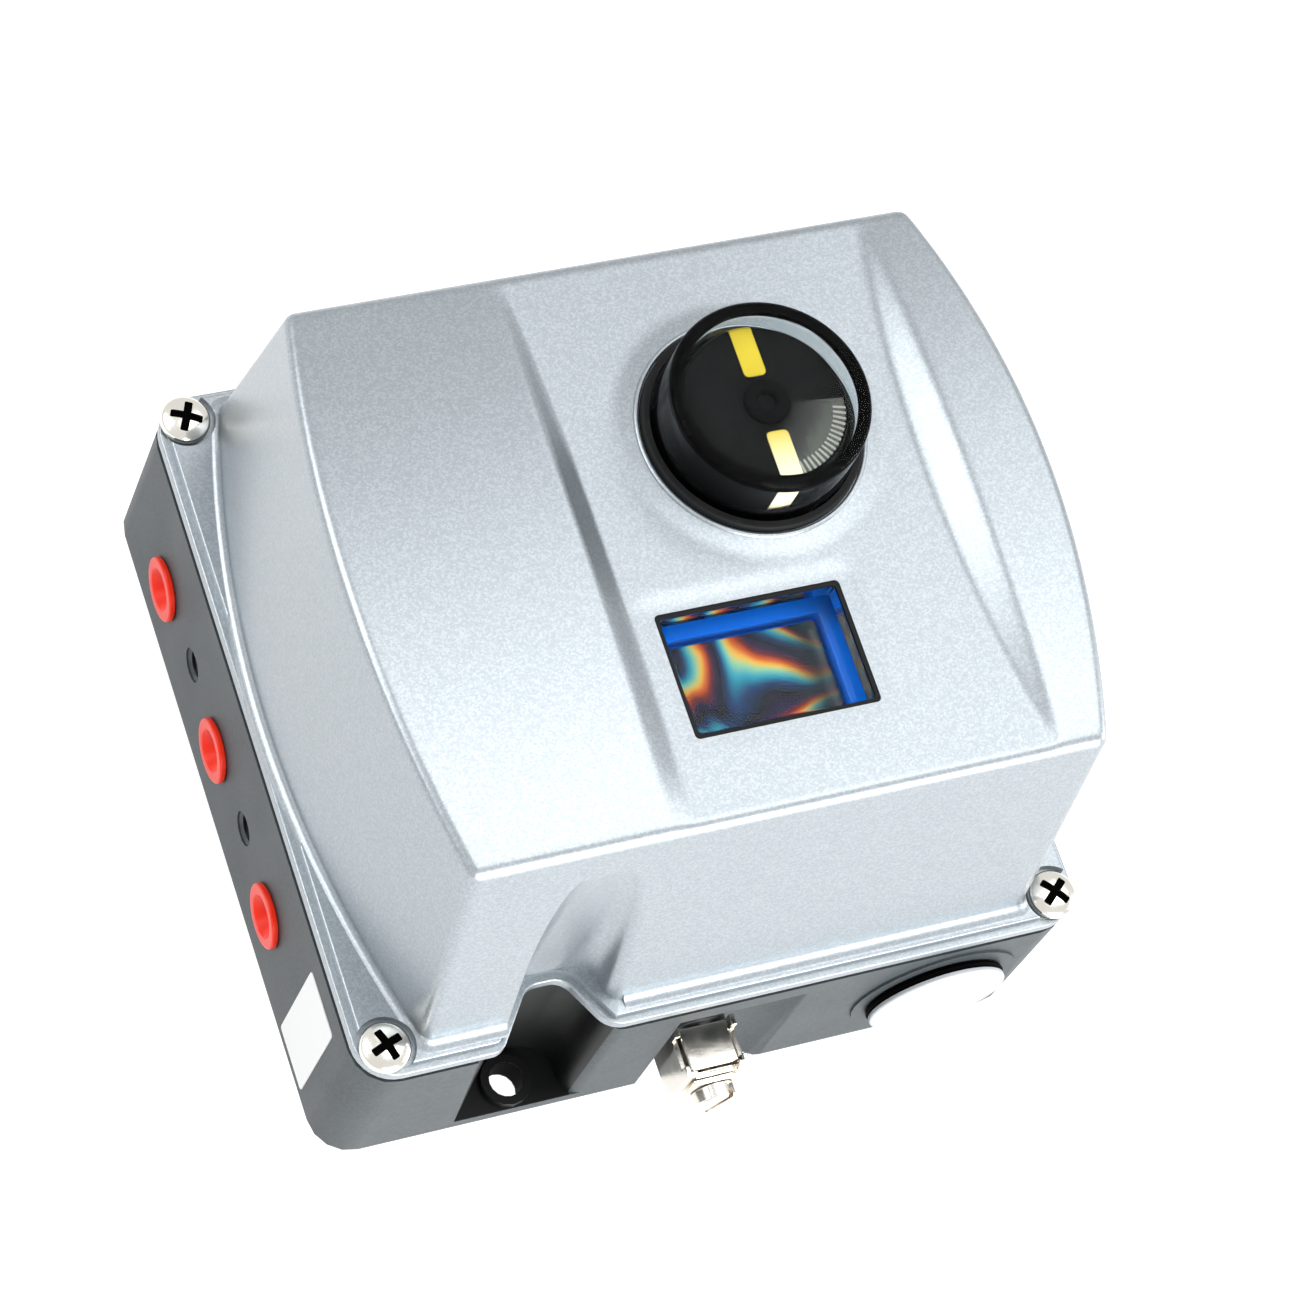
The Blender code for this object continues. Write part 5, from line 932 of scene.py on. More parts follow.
def grow(shape: BMesh, ring: dict[BMVert, Hashable],
         place: Callable[[Hashable], Vector]) -> dict[BMVert, Hashable]:
    """Extrudes a ring of open edges and puts each new vertex in its place.

    Args:
        shape: The mesh in work.
        ring: The ring's vertices, each with a key.
        place: The new place of the vertex with a key.

    Returns:
        The new ring, with the same keys.
    """
    edges = {e for v in ring for e in v.link_edges if e.other_vert(v) in ring and len(e.link_faces) < 2}
    made = bmesh.ops.extrude_edge_only(shape, edges=list(edges))["geom"]
    fresh = {}
    for vert in (g for g in made if isinstance(g, BMVert)):
        upper = next(e.other_vert(vert) for e in vert.link_edges if e.other_vert(vert) in ring)
        fresh[vert] = ring[upper]
        vert.co = place(ring[upper])
    return fresh


def loft(name: str, rings: Sequence[Sequence[Vector]]) -> Object:
    """Joins rings of as many points each to a closed solid.

    Args:
        name: The solid's name.
        rings: The rings, from one end to the other.

    Returns:
        The solid.
    """
    shape = bmesh.new()
    verts = [shape.verts.new(point) for point in rings[0]]
    shape.faces.new(verts)
    ring = {vert: index for index, vert in enumerate(verts)}
    for points in rings[1:]:
        ring = grow(shape, ring, lambda index, points=points: points[index])
    bmesh.ops.holes_fill(shape, edges=[e for e in shape.edges if e.is_boundary], sides=0)
    return as_object(name, shape)


def filleted(corners: Sequence[tuple[float, float, float]], steps: int = 6) -> list[tuple[float, float]]:
    """Rounds the corners of an outline.

    Args:
        corners: X, y and rounding radius of each corner.
        steps: Pieces of each rounding.

    Returns:
        The outline's points.
    """
    points = []
    for k, (x, y, radius) in enumerate(corners):
        here = Vector((x, y))
        before = (Vector(corners[k - 1][:2]) - here).normalized()
        after = (Vector(corners[(k + 1) % len(corners)][:2]) - here).normalized()
        half = before.angle(after) / 2
        if radius == 0.0:
            points.append((x, y))
            continue
        centre = here + (before + after).normalized() * radius / math.sin(half)
        start = here + before * radius / math.tan(half) - centre
        end = here + after * radius / math.tan(half) - centre
        turn = start.angle_signed(end)
        for i in range(steps + 1):
            spoke = start.copy()
            spoke.rotate(Matrix.Rotation(-turn * i / steps, 2))
            points.append(tuple(centre + spoke))
    return points


def fading(share: float) -> float:
    """A soft step: 1 up to a share of 0, falling to 0 from a share of 1 on."""
    left = 1.0 - min(max(share, 0.0), 1.0)
    return left * left * (3 - 2 * left)


@dataclass
class CoverShell:
    """The silver painted cover: a bowed, drafted shell with lens facets, on a stepped flange."""

    foot: float = 43.5 * MM
    bottom: float = 39.4 * MM
    lip_top: float = 41.8 * MM
    step: float = 1.3 * MM
    flange_x: float = 70.0 * MM
    flange_y: float = 66.9 * MM
    flange_corner: float = 7.5 * MM
    top: float = 97.0 * MM
    side_reach: float = 68.2 * MM
    side_radius: float = 200.0 * MM
    draft: float = 0.035
    foot_depth: float = 63.0 * MM
    top_depth: float = 53.5 * MM
    side_arch: float = 4.4 * MM
    middle_arch: float = 0.6 * MM
    middle_x: float = 15.0 * MM
    facets: tuple[tuple[float, float], ...] = ((-22.85 * MM, 4.4 * MM), (50.5 * MM, 6.7 * MM))
    facet_end: float = 1.3 * MM
    front_spread: float = 3.4 * MM
    left_shift: float = 1.5 * MM
    facet_blend: float = 0.6 * MM
    wall: float = 2.6 * MM
    edge: float = 1.8 * MM
    foot_fillet: float = 1.7 * MM
    fillet_run: float = 12.0 * MM
    foot_sink: float = 0.05 * MM
    end_flare: float = 1.4
    rows: int = 112
    spacing: float = 0.85 * MM
    strip: float = 0.6 * MM
    round_steps: int = 5
    blend_steps: int = 4
    cut_down: float = 20.0 * MM
    cut_up: float = 10.0 * MM
    boss: float = 8.0 * MM
    room_drop: float = 5.0 * MM
    jacket_drop: float = 6.0 * MM
    flange_edge: float = 0.35 * MM
    sharp: float = 32.0
    shell_sink: float = 2.0 * MM
    step_rise: float = 0.5 * MM
    screw_x: float = 64.9 * MM
    screw_y: float = 61.8 * MM
    screw_seat: float = 42.1 * MM
    screw_seat_radius: float = 5.5 * MM
    screw_seat_reach: float = 12.0 * MM
    screw_way: float = 2.3 * MM
    window: tuple[float, float, float, float] = (3.7 * MM, -26.1 * MM, 17.4 * MM, 11.7 * MM)
    window_corner: float = 0.9 * MM
    pocket_floor: float = 97.25 * MM
    pocket_blend: tuple[float, float] = (0.5 * MM, 4.4 * MM)
    dome: tuple[float, float, float] = (15.0 * MM, 16.0 * MM, 20.15 * MM)
    collar: tuple[float, float] = (5.0 * MM, 0.55 * MM)
    bead: float = 0.5 * MM
    bead_sink: float = 0.1 * MM
    bead_gap: float = 0.05 * MM
    notch_open: tuple[float, float] = (-60.0 * MM, -8.0 * MM)
    notch_mouth: tuple[float, float] = (-44.2 * MM, -23.7 * MM)
    notch_floor: tuple[float, float] = (-36.3 * MM, -29.6 * MM)
    notch_back: float = -56.3 * MM
    notch_rounding: tuple[float, float, float] = (3.5 * MM, 4.0 * MM, 5.5 * MM)
    notch_shares: tuple[float, ...] = (-1.25, -0.5, 0.6, 1.15)
    scoop_x: float = -33.2 * MM
    scoop_half: float = 9.3 * MM
    scoop_back: float = -55.0 * MM
    scoop_corner: float = 5.2 * MM
    scoop_flares: tuple[float, float] = (3.2 * MM, 0.5 * MM)
    scoop_flare_start: float = 268.0
    scoop_fade: float = 0.3 * MM
    scoop_ease: float = 1.6
    scoop_rows: int = 24
    scoop_steps: int = 8
    scoop_run: float = 30.0 * MM

    def share(self, y: float) -> float:
        """How much of the arch a depth has: 1 in the middle, 0 at the front and back edges."""
        return max(0.0, 1.0 - (y / self.top_depth) ** 2)

    def facet(self, y: float, side: int) -> tuple[float, float]:
        """A facet's outer and inner edge at a depth, for the left (0) or the right (1) facet.

        Args:
            y: The depth.
            side: 0 for the left facet, 1 for the right one.

        Returns:
            The outer and the inner edge's place across.
        """
        outer, middle = self.facets[side]
        width = self.facet_end + (middle - self.facet_end) * self.share(y)
        if side == 0:
            ends = 1 - self.share(y)
            spread = self.front_spread * ends * (y < 0)
            outer += self.left_shift * ends - spread / 2
            return outer, outer + width + spread
        return outer, outer - width

    def crisp_height(self, x: float, y: float) -> float:
        """The top's height with sharp edges between the panels and the facets.

        Args:
            x: The place across.
            y: The place in depth.

        Returns:
            The height.
        """
        high = self.top + self.side_arch * self.share(y)
        middle = self.top + self.middle_arch * self.share(y)
        outer, inner = self.facet(y, int(x > self.middle_x))
        reach = (x - inner) / (outer - inner)
        return middle + (high - middle) * min(max(reach, 0.0), 1.0)

    def height(self, x: float, y: float) -> float:
        """The top's height, with the facets' edges blended, the window's hollow and the dome's collar.

        Args:
            x: The place across.
            y: The place in depth.

        Returns:
            The height.
        """
        reach = range(-self.blend_steps, self.blend_steps + 1)
        steps = [self.facet_blend * k / self.blend_steps for k in reach]
        plain = sum(self.crisp_height(x + s, y) for s in steps) / len(steps)
        middle_x, middle_y, half_x, half_y = self.window
        out_x = max(abs(x - middle_x) - half_x, 0.0)
        out_y = max(abs(y - middle_y) - half_y, 0.0)
        near, far = self.pocket_blend
        sunk = fading((math.hypot(out_x, out_y) - near) / (far - near))
        dome_x, dome_y, dome_radius = self.dome
        raised = fading((math.hypot(x - dome_x, y - dome_y) - dome_radius) / self.collar[0])
        return plain + (self.pocket_floor - plain) * sunk + self.collar[1] * raised

    def half_width(self, y: float, z: float) -> float:
        """Half the shell's width at a depth and height."""
        return self.side_reach - y * y / (2 * self.side_radius) - self.draft * (z - self.foot)

    def columns(self, half: float) -> list[float]:
        """Places across the top, with a narrow strip at each side for the rounding.

        Args:
            half: Half the top's width at the depth in question.

        Returns:
            The places, from left to right.
        """
        inside = half - self.edge - self.strip
        count = round(2 * (self.side_reach - self.edge) / self.spacing)
        between = [-inside + 2 * inside * k / count for k in range(count + 1)]
        return [-half] + between + [half]

    def depths(self) -> list[float]:
        """Places of the top's rows.

        Returns:
            The places, from the front edge to the back edge.
        """
        inside = self.top_depth - self.edge - self.strip
        between = [-inside + 2 * inside * k / self.rows for k in range(self.rows + 1)]
        return [-self.top_depth] + between + [self.top_depth]

    def top_sheet(self) -> BMesh:
        """The top as a grid, bowed at its sides and arched along its depth.

        Returns:
            The grid, as a mesh in work.
        """
        depths = self.depths()
        count = len(self.columns(self.side_reach))
        shape = bmesh.new()
        bmesh.ops.create_grid(shape, x_segments=count - 1, y_segments=len(depths) - 1, size=1.0)
        order = sorted(shape.verts, key=lambda v: (round(v.co.y, 4), v.co.x))
        for j, y in enumerate(depths):
            half = self.half_width(y, self.top + self.side_arch * self.share(y))
            for i, x in enumerate(self.columns(half)):
                order[j * count + i].co = (x, y, self.height(x, y))
        return shape

    def wall_place(self, start: Vector, z: float, out: float) -> Vector:
        """Where a point of the top's border comes to lower down the wall.

        Args:
            start: The point on the top's border.
            z: The height wanted.
            out: How far the point stands out from the plain wall.

        Returns:
            The place on the wall.
        """
        share = (start.z - z) / (start.z - self.foot)
        y = start.y * (1 + (self.foot_depth / self.top_depth - 1) * share)
        x = start.x * self.half_width(y, z) / self.half_width(start.y, start.z)
        if self.on_end(start):
            y += math.copysign(out * self.end_flare, y)
        if self.on_side(start):
            x += math.copysign(out, x)
        return Vector((x, y, z))

    def on_end(self, start: Vector) -> bool:
        """Whether a border point lies on the front or back edge."""
        return abs(abs(start.y) - self.top_depth) < PLAY

    def on_side(self, start: Vector) -> bool:
        """Whether a border point lies on the left or right edge."""
        return abs(abs(start.x) - self.half_width(start.y, start.z)) < PLAY

    def form(self, name: str, floor: float) -> Object:
        """The closed body of the shell, with its top's rim and corners rounded.

        Args:
            name: The body's name.
            floor: The height its lowest ring comes to.

        Returns:
            The body.
        """
        shape = self.top_sheet()
        rim = [e for e in shape.edges if e.is_boundary]
        starts = {v: v.co.copy().freeze() for e in rim for v in e.verts}
        rings = [(self.foot + self.foot_fillet + self.fillet_run, 0.0), (self.foot + self.foot_fillet, 0.0)]
        for k in range(1, self.round_steps + 1):
            turn = math.radians(90 * k / self.round_steps)
            rings.append((self.foot - self.foot_sink + self.foot_fillet * (1 - math.sin(turn)),
                          self.foot_fillet * (1 - math.cos(turn))))
        rings.append((floor, self.foot_fillet))
        ring = starts
        corners = []
        for z, out in rings:
            below = grow(shape, ring, lambda start, z=z, out=out: self.wall_place(start, z, out))
            for vert, start in below.items():
                if self.on_end(start) and self.on_side(start):
                    corners.extend(e for e in vert.link_edges if e.other_vert(vert) in ring)
            ring = below
        bmesh.ops.recalc_face_normals(shape, faces=shape.faces)
        bmesh.ops.bevel(shape, geom=rim + corners, offset=self.edge, segments=self.round_steps,
                        profile=0.5, affect="EDGES", clamp_overlap=True, material=-1)
        bmesh.ops.holes_fill(shape, edges=[e for e in shape.edges if e.is_boundary], sides=0)
        return as_object(name, shape)

    def hollow(self) -> Object:
        """The room inside the cover, which leaves the scoop and the notch a wall.

        Returns:
            The room, as a cutter.
        """
        room = replace(self, foot=self.foot - self.wall, top=self.top - self.wall,
                       side_reach=self.side_reach - self.wall, foot_depth=self.foot_depth - self.wall,
                       top_depth=self.top_depth - self.wall, pocket_floor=self.pocket_floor - self.wall,
                       edge=0.8 * MM, foot_fillet=0.2 * MM, rows=24, spacing=5 * MM)
        inside = room.form("room", self.bottom - self.room_drop)
        low = self.bottom - self.jacket_drop
        jackets = [slab("jacket", self.notch(self.step + self.wall), low, self.top + self.cut_up)]
        for x, y in self.screw_places():
            jackets.append(slab("boss", circle(x, y, self.boss, 24), low, self.foot - self.wall))
        return combine(inside, "DIFFERENCE", jackets)

    def notch(self, more: float) -> list[tuple[float, float]]:
        """Outlines the notch in the flange: bell-shaped, with a diagonal left side.

        Args:
            more: How much larger it is than the gap in the lip.

        Returns:
            The notch in plan.
        """
        face = -self.flange_y - PLAY
        back = self.notch_back + more
        left, right = self.notch_open
        round_left, round_floor, round_right = self.notch_rounding
        # The sides slant, so each corner moves by a share of its own.
        places = self.notch_mouth[0], *self.notch_floor, self.notch_mouth[1]
        mouth_left, floor_left, floor_right, mouth_right = (
            place + share * more for place, share in zip(places, self.notch_shares))
        return filleted([(left, face, 0.0), (mouth_left, face, round_left - more / 2),
                         (floor_left, back, round_floor + more), (floor_right, back, round_floor + more),
                         (mouth_right, face, round_right - more / 2), (right, face, 0.0),
                         (right, face - self.cut_down, 0.0), (left, face - self.cut_down, 0.0)])

    def scoop_side(self, side: int, flare: float, wall_y: float) -> list[tuple[float, float]]:
        """One half of the scoop's outline at a height, from outside the cover to the scoop's back.

        Args:
            side: 1 for the right half, -1 for the left half.
            flare: Radius of the rounding between the cover's wall and the scoop.
            wall_y: Where the cover's front wall stands at this height.

        Returns:
            The half outline's points.
        """
        centre_x = self.scoop_half - self.scoop_corner
        centre_y = self.scoop_back - self.scoop_corner
        rise = wall_y + flare - centre_y
        reach = self.scoop_corner + flare
        turn = math.asin(min(max(rise / reach, 0.0), 1.0))
        flare_x = centre_x + reach * math.cos(turn)
        flare_y = wall_y + flare
        start = math.radians(self.scoop_flare_start)
        points = [(flare_x + flare * math.cos(start), wall_y - self.scoop_run)]
        for x, y, radius, first, last in ((flare_x, flare_y, flare, start, math.pi + turn),
                                          (centre_x, centre_y, self.scoop_corner, turn, math.pi / 2)):
            for k in range(self.scoop_steps + 1):
                angle = first + (last - first) * k / self.scoop_steps
                points.append((x + radius * math.cos(angle), y + radius * math.sin(angle)))
        return [(self.scoop_x + side * x, y) for x, y in points]

    def scoop(self) -> Object:
        """The cutter of the scoop that runs up the front wall and fades out below the top.

        Returns:
            The cutter.
        """
        slope = (self.foot_depth - self.top_depth) / (self.top - self.foot)
        apex = self.foot + (self.foot_depth + self.scoop_back) / slope - self.scoop_fade
        drop = apex - (self.foot - PLAY)
        shares = [1 - k / self.scoop_rows for k in range(self.scoop_rows + 1)]
        heights = [apex - drop * share ** self.scoop_ease for share in shares]
        rings = []
        for z in heights + [self.top + self.cut_up]:
            wall_y = -self.foot_depth + slope * (min(z, apex) - self.foot)
            right, left = (self.scoop_side(side, flare, wall_y)
                           for side, flare in zip((1, -1), self.scoop_flares))
            rings.append([Vector((x, y, z)) for x, y in right + left[::-1]])
        return loft("scoop", rings)

    def flange(self) -> list[Object]:
        """The flange's wide lip and the narrower step on it, both notched and rounded.

        Returns:
            The lip and the step.
        """
        plates = []
        for name, inset, low, high in (("lip", 0.0, self.bottom, self.lip_top),
                                       ("step", self.step, self.bottom + self.step_rise, self.foot)):
            outline = rounded_rectangle(self.flange_x - inset, self.flange_y - inset,
                                        self.flange_corner - inset)
            plate = slab(name, outline, low, high)
            combine(plate, "DIFFERENCE", [slab("gap", self.notch(inset), low - MM, high + MM)])
            plates.append(round_over(plate, self.flange_edge, 3, SHARP_FLAT))
        return plates

    def screw_places(self) -> list[tuple[float, float]]:
        """The four screws' places in plan."""
        return [(sx * self.screw_x, sy * self.screw_y) for sx in (-1, 1) for sy in (-1, 1)]

    def openings(self) -> list[Object]:
        """The cutters of the window, the dome and the screws.

        Returns:
            The cutters.
        """
        middle_x, middle_y, half_x, half_y = self.window
        dome_x, dome_y, dome_radius = self.dome
        outlines = [rounded_rectangle(half_x, half_y, self.window_corner, middle_x, middle_y),
                    circle(dome_x, dome_y, dome_radius, 120)]
        cutters = [slab("way", outline, self.top - self.cut_down, self.top + self.cut_up)
                   for outline in outlines]
        for x, y in self.screw_places():
            cutters.append(slab("seat", circle(x, y, self.screw_seat_radius, 48),
                                self.screw_seat, self.foot + self.screw_seat_reach))
            cutters.append(slab("way", circle(x, y, self.screw_way, 24), self.bottom - MM,
                                self.screw_seat + MM))
        return cutters

    def dome_bead(self) -> Object:
        """The fine round bead on the cover that frames the dome's gasket.

        Returns:
            The bead.
        """
        dome_x, dome_y, dome_radius = self.dome
        face = self.top + self.middle_arch + self.collar[1] - self.bead_sink
        ring = circle(dome_radius + self.bead + self.bead_gap, face, self.bead, 12)
        return turned("bead", ring, Vector((dome_x, dome_y, 0.0)), steps=119)

    def build(self) -> None:
        """Builds the shell and dresses it."""
        shell = self.form("cover_shell", self.foot - self.shell_sink)
        combine(shell, "DIFFERENCE", [slab("gap", self.notch(self.step), self.bottom - MM, self.foot)])
        combine(shell, "UNION", self.flange())
        combine(shell, "DIFFERENCE", [self.hollow(), self.scoop()] + self.openings())
        combine(shell, "UNION", [self.dome_bead()])
        show(shell, SILVER, Body.COVER, ["cover"], self.sharp)


def span(name: str, low: tuple[float, float, float], high: tuple[float, float, float]) -> Object:
    """Makes a block between two corners.

    Args:
        name: The block's name.
        low: Its lower, left and front corner.
        high: Its upper, right and back corner.

    Returns:
        The block.
    """
    return slab(name, [(low[0], low[1]), (high[0], low[1]), (high[0], high[1]), (low[0], high[1])],
                low[2], high[2])


def bent_edge(radius: float, height: float, edge: float, down: bool = False) -> list[tuple[float, float]]:
    """Rounds the corner of a turned piece.

    Args:
        radius: The corner's radius from the axis.
        height: The corner's height.
        edge: The rounding's radius.
        down: Whether the points run from the end face down to the side, and not up.

    Returns:
        The rounding's points.
    """
    points = arc((radius - edge, height - edge), edge, 0, 90, EDGE_STEPS)
    return points[::-1] if down else points


@dataclass
class CoverScrews:
    """The four captive pan-head screws with a cross recess."""

    places: Sequence[tuple[float, float]]
    seat: float = 42.4 * MM
    head: float = 4.6 * MM
    rim: float = 0.9 * MM
    crown: float = 2.55 * MM
    shank: float = 2.0 * MM
    end: float = 27.4 * MM
    slot_width: float = 1.5 * MM
    slot_reach: float = 3.0 * MM
    slot_depth: float = 2.0 * MM
    slot_corner: float = 0.3 * MM
    slot_step: float = 0.13 * MM
    slot_run: float = 9.0 * MM
    # Height and inset of the pitch black cross in each recess, which is painted shade.
    cross_shade_height: float = 1.0 * MM
    cross_shade_gap: float = 0.03 * MM
    tip: tuple[float, float] = (0.5 * MM, 0.8 * MM)
    skirt: tuple[float, float] = (0.15 * MM, 0.2 * MM)
    crown_steps: int = 10
    turns: tuple[float, ...] = (20.0, 65.0, 40.0, 8.0)
    nodes: tuple[str, ...] = ("cover_screw_1", "cover_screw_4", "cover_screw_2", "cover_screw_3")

    def head_profile(self) -> list[tuple[float, float]]:
        """Half section of the screw, from the tip of the shank to the crown.

        Returns:
            Radius and height of its points.
        """
        angles = [math.radians(90 * k / self.crown_steps) for k in range(self.crown_steps)]
        swell = [(self.head * math.cos(a), self.rim + (self.crown - self.rim) * math.sin(a)) for a in angles]
        low = self.end - self.seat
        tip, tip_height = self.tip
        skirt, skirt_height = self.skirt
        return [(0.0, low), (self.shank - tip, low), (self.shank, low + tip_height), (self.shank, 0.0),
                (self.head - skirt, 0.0), (self.head, skirt_height), *swell, (0.0, self.crown)]

    def cross(self, x: float, y: float, turn: float, low: float, height: float,
              inset: float) -> list[Object]:
        """The two bars of a cross recess.

        Args:
            x: The screw's place across.
            y: The screw's place in depth.
            turn: The first bar's angle in degrees.
            low: The lower height.
            height: How high the bars rise.
            inset: How much smaller they are than the recess.

        Returns:
            The two bars.
        """
        outline = rounded_rectangle(self.slot_reach - inset, self.slot_width / 2 - inset,
                                    self.slot_corner, steps=3)
        bars = []
        # The second bar is a little lower, so that no faces of the two lie in one plane.
        for extra, step in ((0, 0.0), (90, self.slot_step)):
            place = Matrix.Translation((x, y, 0)) @ Matrix.Rotation(math.radians(turn + extra), 4, "Z")
            bars.append(slab("slot", outline, low + step, low + height - step, place))
        return bars

    def build(self) -> None:
        """Builds and dresses the screws."""
        low = self.seat + self.crown - self.slot_depth
        for number, ((x, y), turn, node) in enumerate(zip(self.places, self.turns, self.nodes), 1):
            screw = turned(f"cross_screw_{number}", self.head_profile(), Vector((x, y, self.seat)), steps=48)
            combine(screw, "DIFFERENCE", self.cross(x, y, turn, low, self.slot_run, 0.0))
            # A pitch black cross at the bottom of each recess is painted shade.
            first, second = self.cross(x, y, turn, low + PLAY, self.cross_shade_height, self.cross_shade_gap)
            first.name = f"cross_painted_shade_{number}"
            show(combine(first, "UNION", [second]), BLACK_AND_PAINTED_SHADE, Body.COVER, [], SHARP_TURNED)
            show(screw, SCREW, Body.COVER, [node], SHARP_TURNED)


@dataclass
class PortPlugs:
    """Red push-in plugs in the three air ports, each with a dished face and a slot."""

    face: float = -70.3 * MM
    height: float = 17.0 * MM
    flange: float = 6.1 * MM
    proud: float = 1.0 * MM
    dish: float = 4.1 * MM
    dish_floor: float = 2.6 * MM
    dish_depth: float = 1.9 * MM
    dish_edge: tuple[tuple[float, float], ...] = ((-0.4 * MM, -0.6 * MM), (0.0, -0.1 * MM), (0.3 * MM, 0.0))
    edge: float = 0.4 * MM
    stem: float = 5.4 * MM
    taper: float = 0.3 * MM
    length: float = 7.5 * MM
    slot_half: tuple[float, float] = (0.75 * MM, 1.9 * MM)
    slot_depth: float = 3.2 * MM
    slot_run: float = 3.0 * MM
    # How far inside the face the pitch black fill of each slot starts; the fill is painted shade.
    grime_top: float = 1.5 * MM
    places: tuple[tuple[str, float], ...] = (("s", 41.0 * MM), ("c1", 8.0 * MM), ("c2", -25.0 * MM))

    def block(self, name: str, y: float, start: float, gap: float) -> Object:
        """Makes a block that lies in a plug's slot.

        Args:
            name: The block's name.
            y: The plug's place in depth.
            start: How far inside the housing's face the block starts.
            gap: How much smaller it is than the slot.

        Returns:
            The block.
        """
        half, high = (size - gap for size in self.slot_half)
        return span(name, (self.face + start, y - half, self.height - high),
                    (self.face + self.slot_depth - gap, y + half, self.height + high))

    def build(self) -> None:
        """Builds and dresses the plugs."""
        floor = self.proud - self.dish_depth
        profile = [(0.0, floor), (self.dish_floor, floor)]
        profile += [(self.dish + out, self.proud + up) for out, up in self.dish_edge]
        profile += bent_edge(self.flange, self.proud, self.edge, True)
        profile += [(self.flange, 0.0), (self.stem, 0.0), (self.stem - self.taper, -self.length),
                    (0.0, -self.length)]
        for name, y in self.places:
            plug = turned(f"plug_{name}", profile, Vector((self.face, y, self.height)), Facing.LEFT, steps=48)
            combine(plug, "DIFFERENCE", [self.block("slot", y, -self.slot_run, 0.0)])
            show(plug, RED, Body.HOUSING, [f"port_plug_{name}"], SHARP_TURNED)
            # A pitch black block fills the slot's deeper part as painted shade.
            slot_shade_block = self.block(f"slot_painted_shade_{name}", y, self.grime_top, PLAY)
            show(slot_shade_block, BLACK_AND_PAINTED_SHADE, Body.HOUSING, [], SHARP_TURNED)


@dataclass
class CableEntry:
    """The white blanking plug and its black washer in the cable entry."""

    x: float = 46.5 * MM
    z: float = 20.2 * MM
    face: float = -69.9 * MM
    cap: float = 13.2 * MM
    edge: float = 0.45 * MM
    flat: float = 10.2 * MM
    thickness: float = 0.9 * MM
    stem: float = 9.0 * MM
    stem_length: float = 9.0 * MM
    stem_wall: float = 2.0 * MM
    floor: float = 1.0 * MM
    washer: float = 1.0 * MM
    washer_gap: float = 0.4 * MM
    washer_swell: float = 0.2 * MM
    washer_place: float = 1.2 * MM

    def build(self) -> None:
        """Builds and dresses the plug and the washer."""
        low = -self.thickness
        end = low - self.stem_length
        bore = self.stem - self.stem_wall
        profile = [(0.0, 0.0), (self.flat, 0.0)] + bent_edge(self.cap, 0.0, self.edge, True)
        profile += [(self.cap, low), (self.stem, low), (self.stem, end), (bore, end),
                    (bore, low - self.floor), (0.0, low - self.floor)]
        cap = turned("blanking_plug", profile, Vector((self.x, self.face, self.z)), Facing.FRONT, steps=96)
        show(cap, WHITE, Body.HOUSING, ["cable_plug"], SHARP_TURNED)
        # The washer is pitch black: its own black rubber, and painted shade for the dark gap round the cap.
        inner = self.stem + self.washer_gap
        ring = [(inner, 0.0), (self.cap, 0.0), (self.cap + self.washer_swell, -self.washer / 2),
                (self.cap, -self.washer), (inner, -self.washer)]
        place = Vector((self.x, self.face + self.washer_place, self.z))
        washer = turned("blanking_washer", ring, place, Facing.FRONT, steps=96)
        show(washer, BLACK_AND_PAINTED_SHADE, Body.HOUSING, ["cable_plug_seal"], SHARP_TURNED)


@dataclass
class EarthTerminal:
    """The nickel plated earth terminal: bracket, clamp, square washer and slotted screw."""

    x: float = -0.3 * MM
    z: float = 17.7 * MM
    front: float = -78.6 * MM
    head: float = 4.1 * MM
    head_depth: float = 2.9 * MM
    head_edge: float = 0.7 * MM
    shank: float = 1.9 * MM
    length: float = 18.0 * MM
    slot: tuple[float, float, float] = (6.0 * MM, 0.6 * MM, 0.1 * MM)
    slot_depth: float = 1.4 * MM
    slot_run: float = 3.0 * MM
    slot_turn: float = 62.0
    edges: tuple[tuple[str, float], ...] = (
        ("earth_bracket", 0.25 * MM), ("earth_clamp", 0.3 * MM), ("earth_washer", 0.2 * MM))

    def build(self) -> None:
        """Builds and dresses the terminal's pieces."""
        for node, width in self.edges:
            show(softened(node, width, 2, SHARP_FLAT), NICKEL, Body.HOUSING, [node], SHARP_FLAT)
        place = Vector((self.x, self.front, self.z))
        profile = [(0.0, 0.0)] + bent_edge(self.head, 0.0, self.head_edge, True)
        profile += [(self.head, -self.head_depth), (self.shank, -self.head_depth),
                    (self.shank, -self.length), (0.0, -self.length)]
        screw = turned("slotted_screw", profile, place, Facing.FRONT, steps=48)
        turn = Facing.FRONT.value @ Matrix.Rotation(math.radians(self.slot_turn), 4, "Z")
        slot = slab("slot", rounded_rectangle(*self.slot, steps=1), -self.slot_depth, self.slot_run,
                    Matrix.Translation(place) @ turn)
        combine(screw, "DIFFERENCE", [slot])
        show(screw, NICKEL, Body.HOUSING, ["earth_screw"])


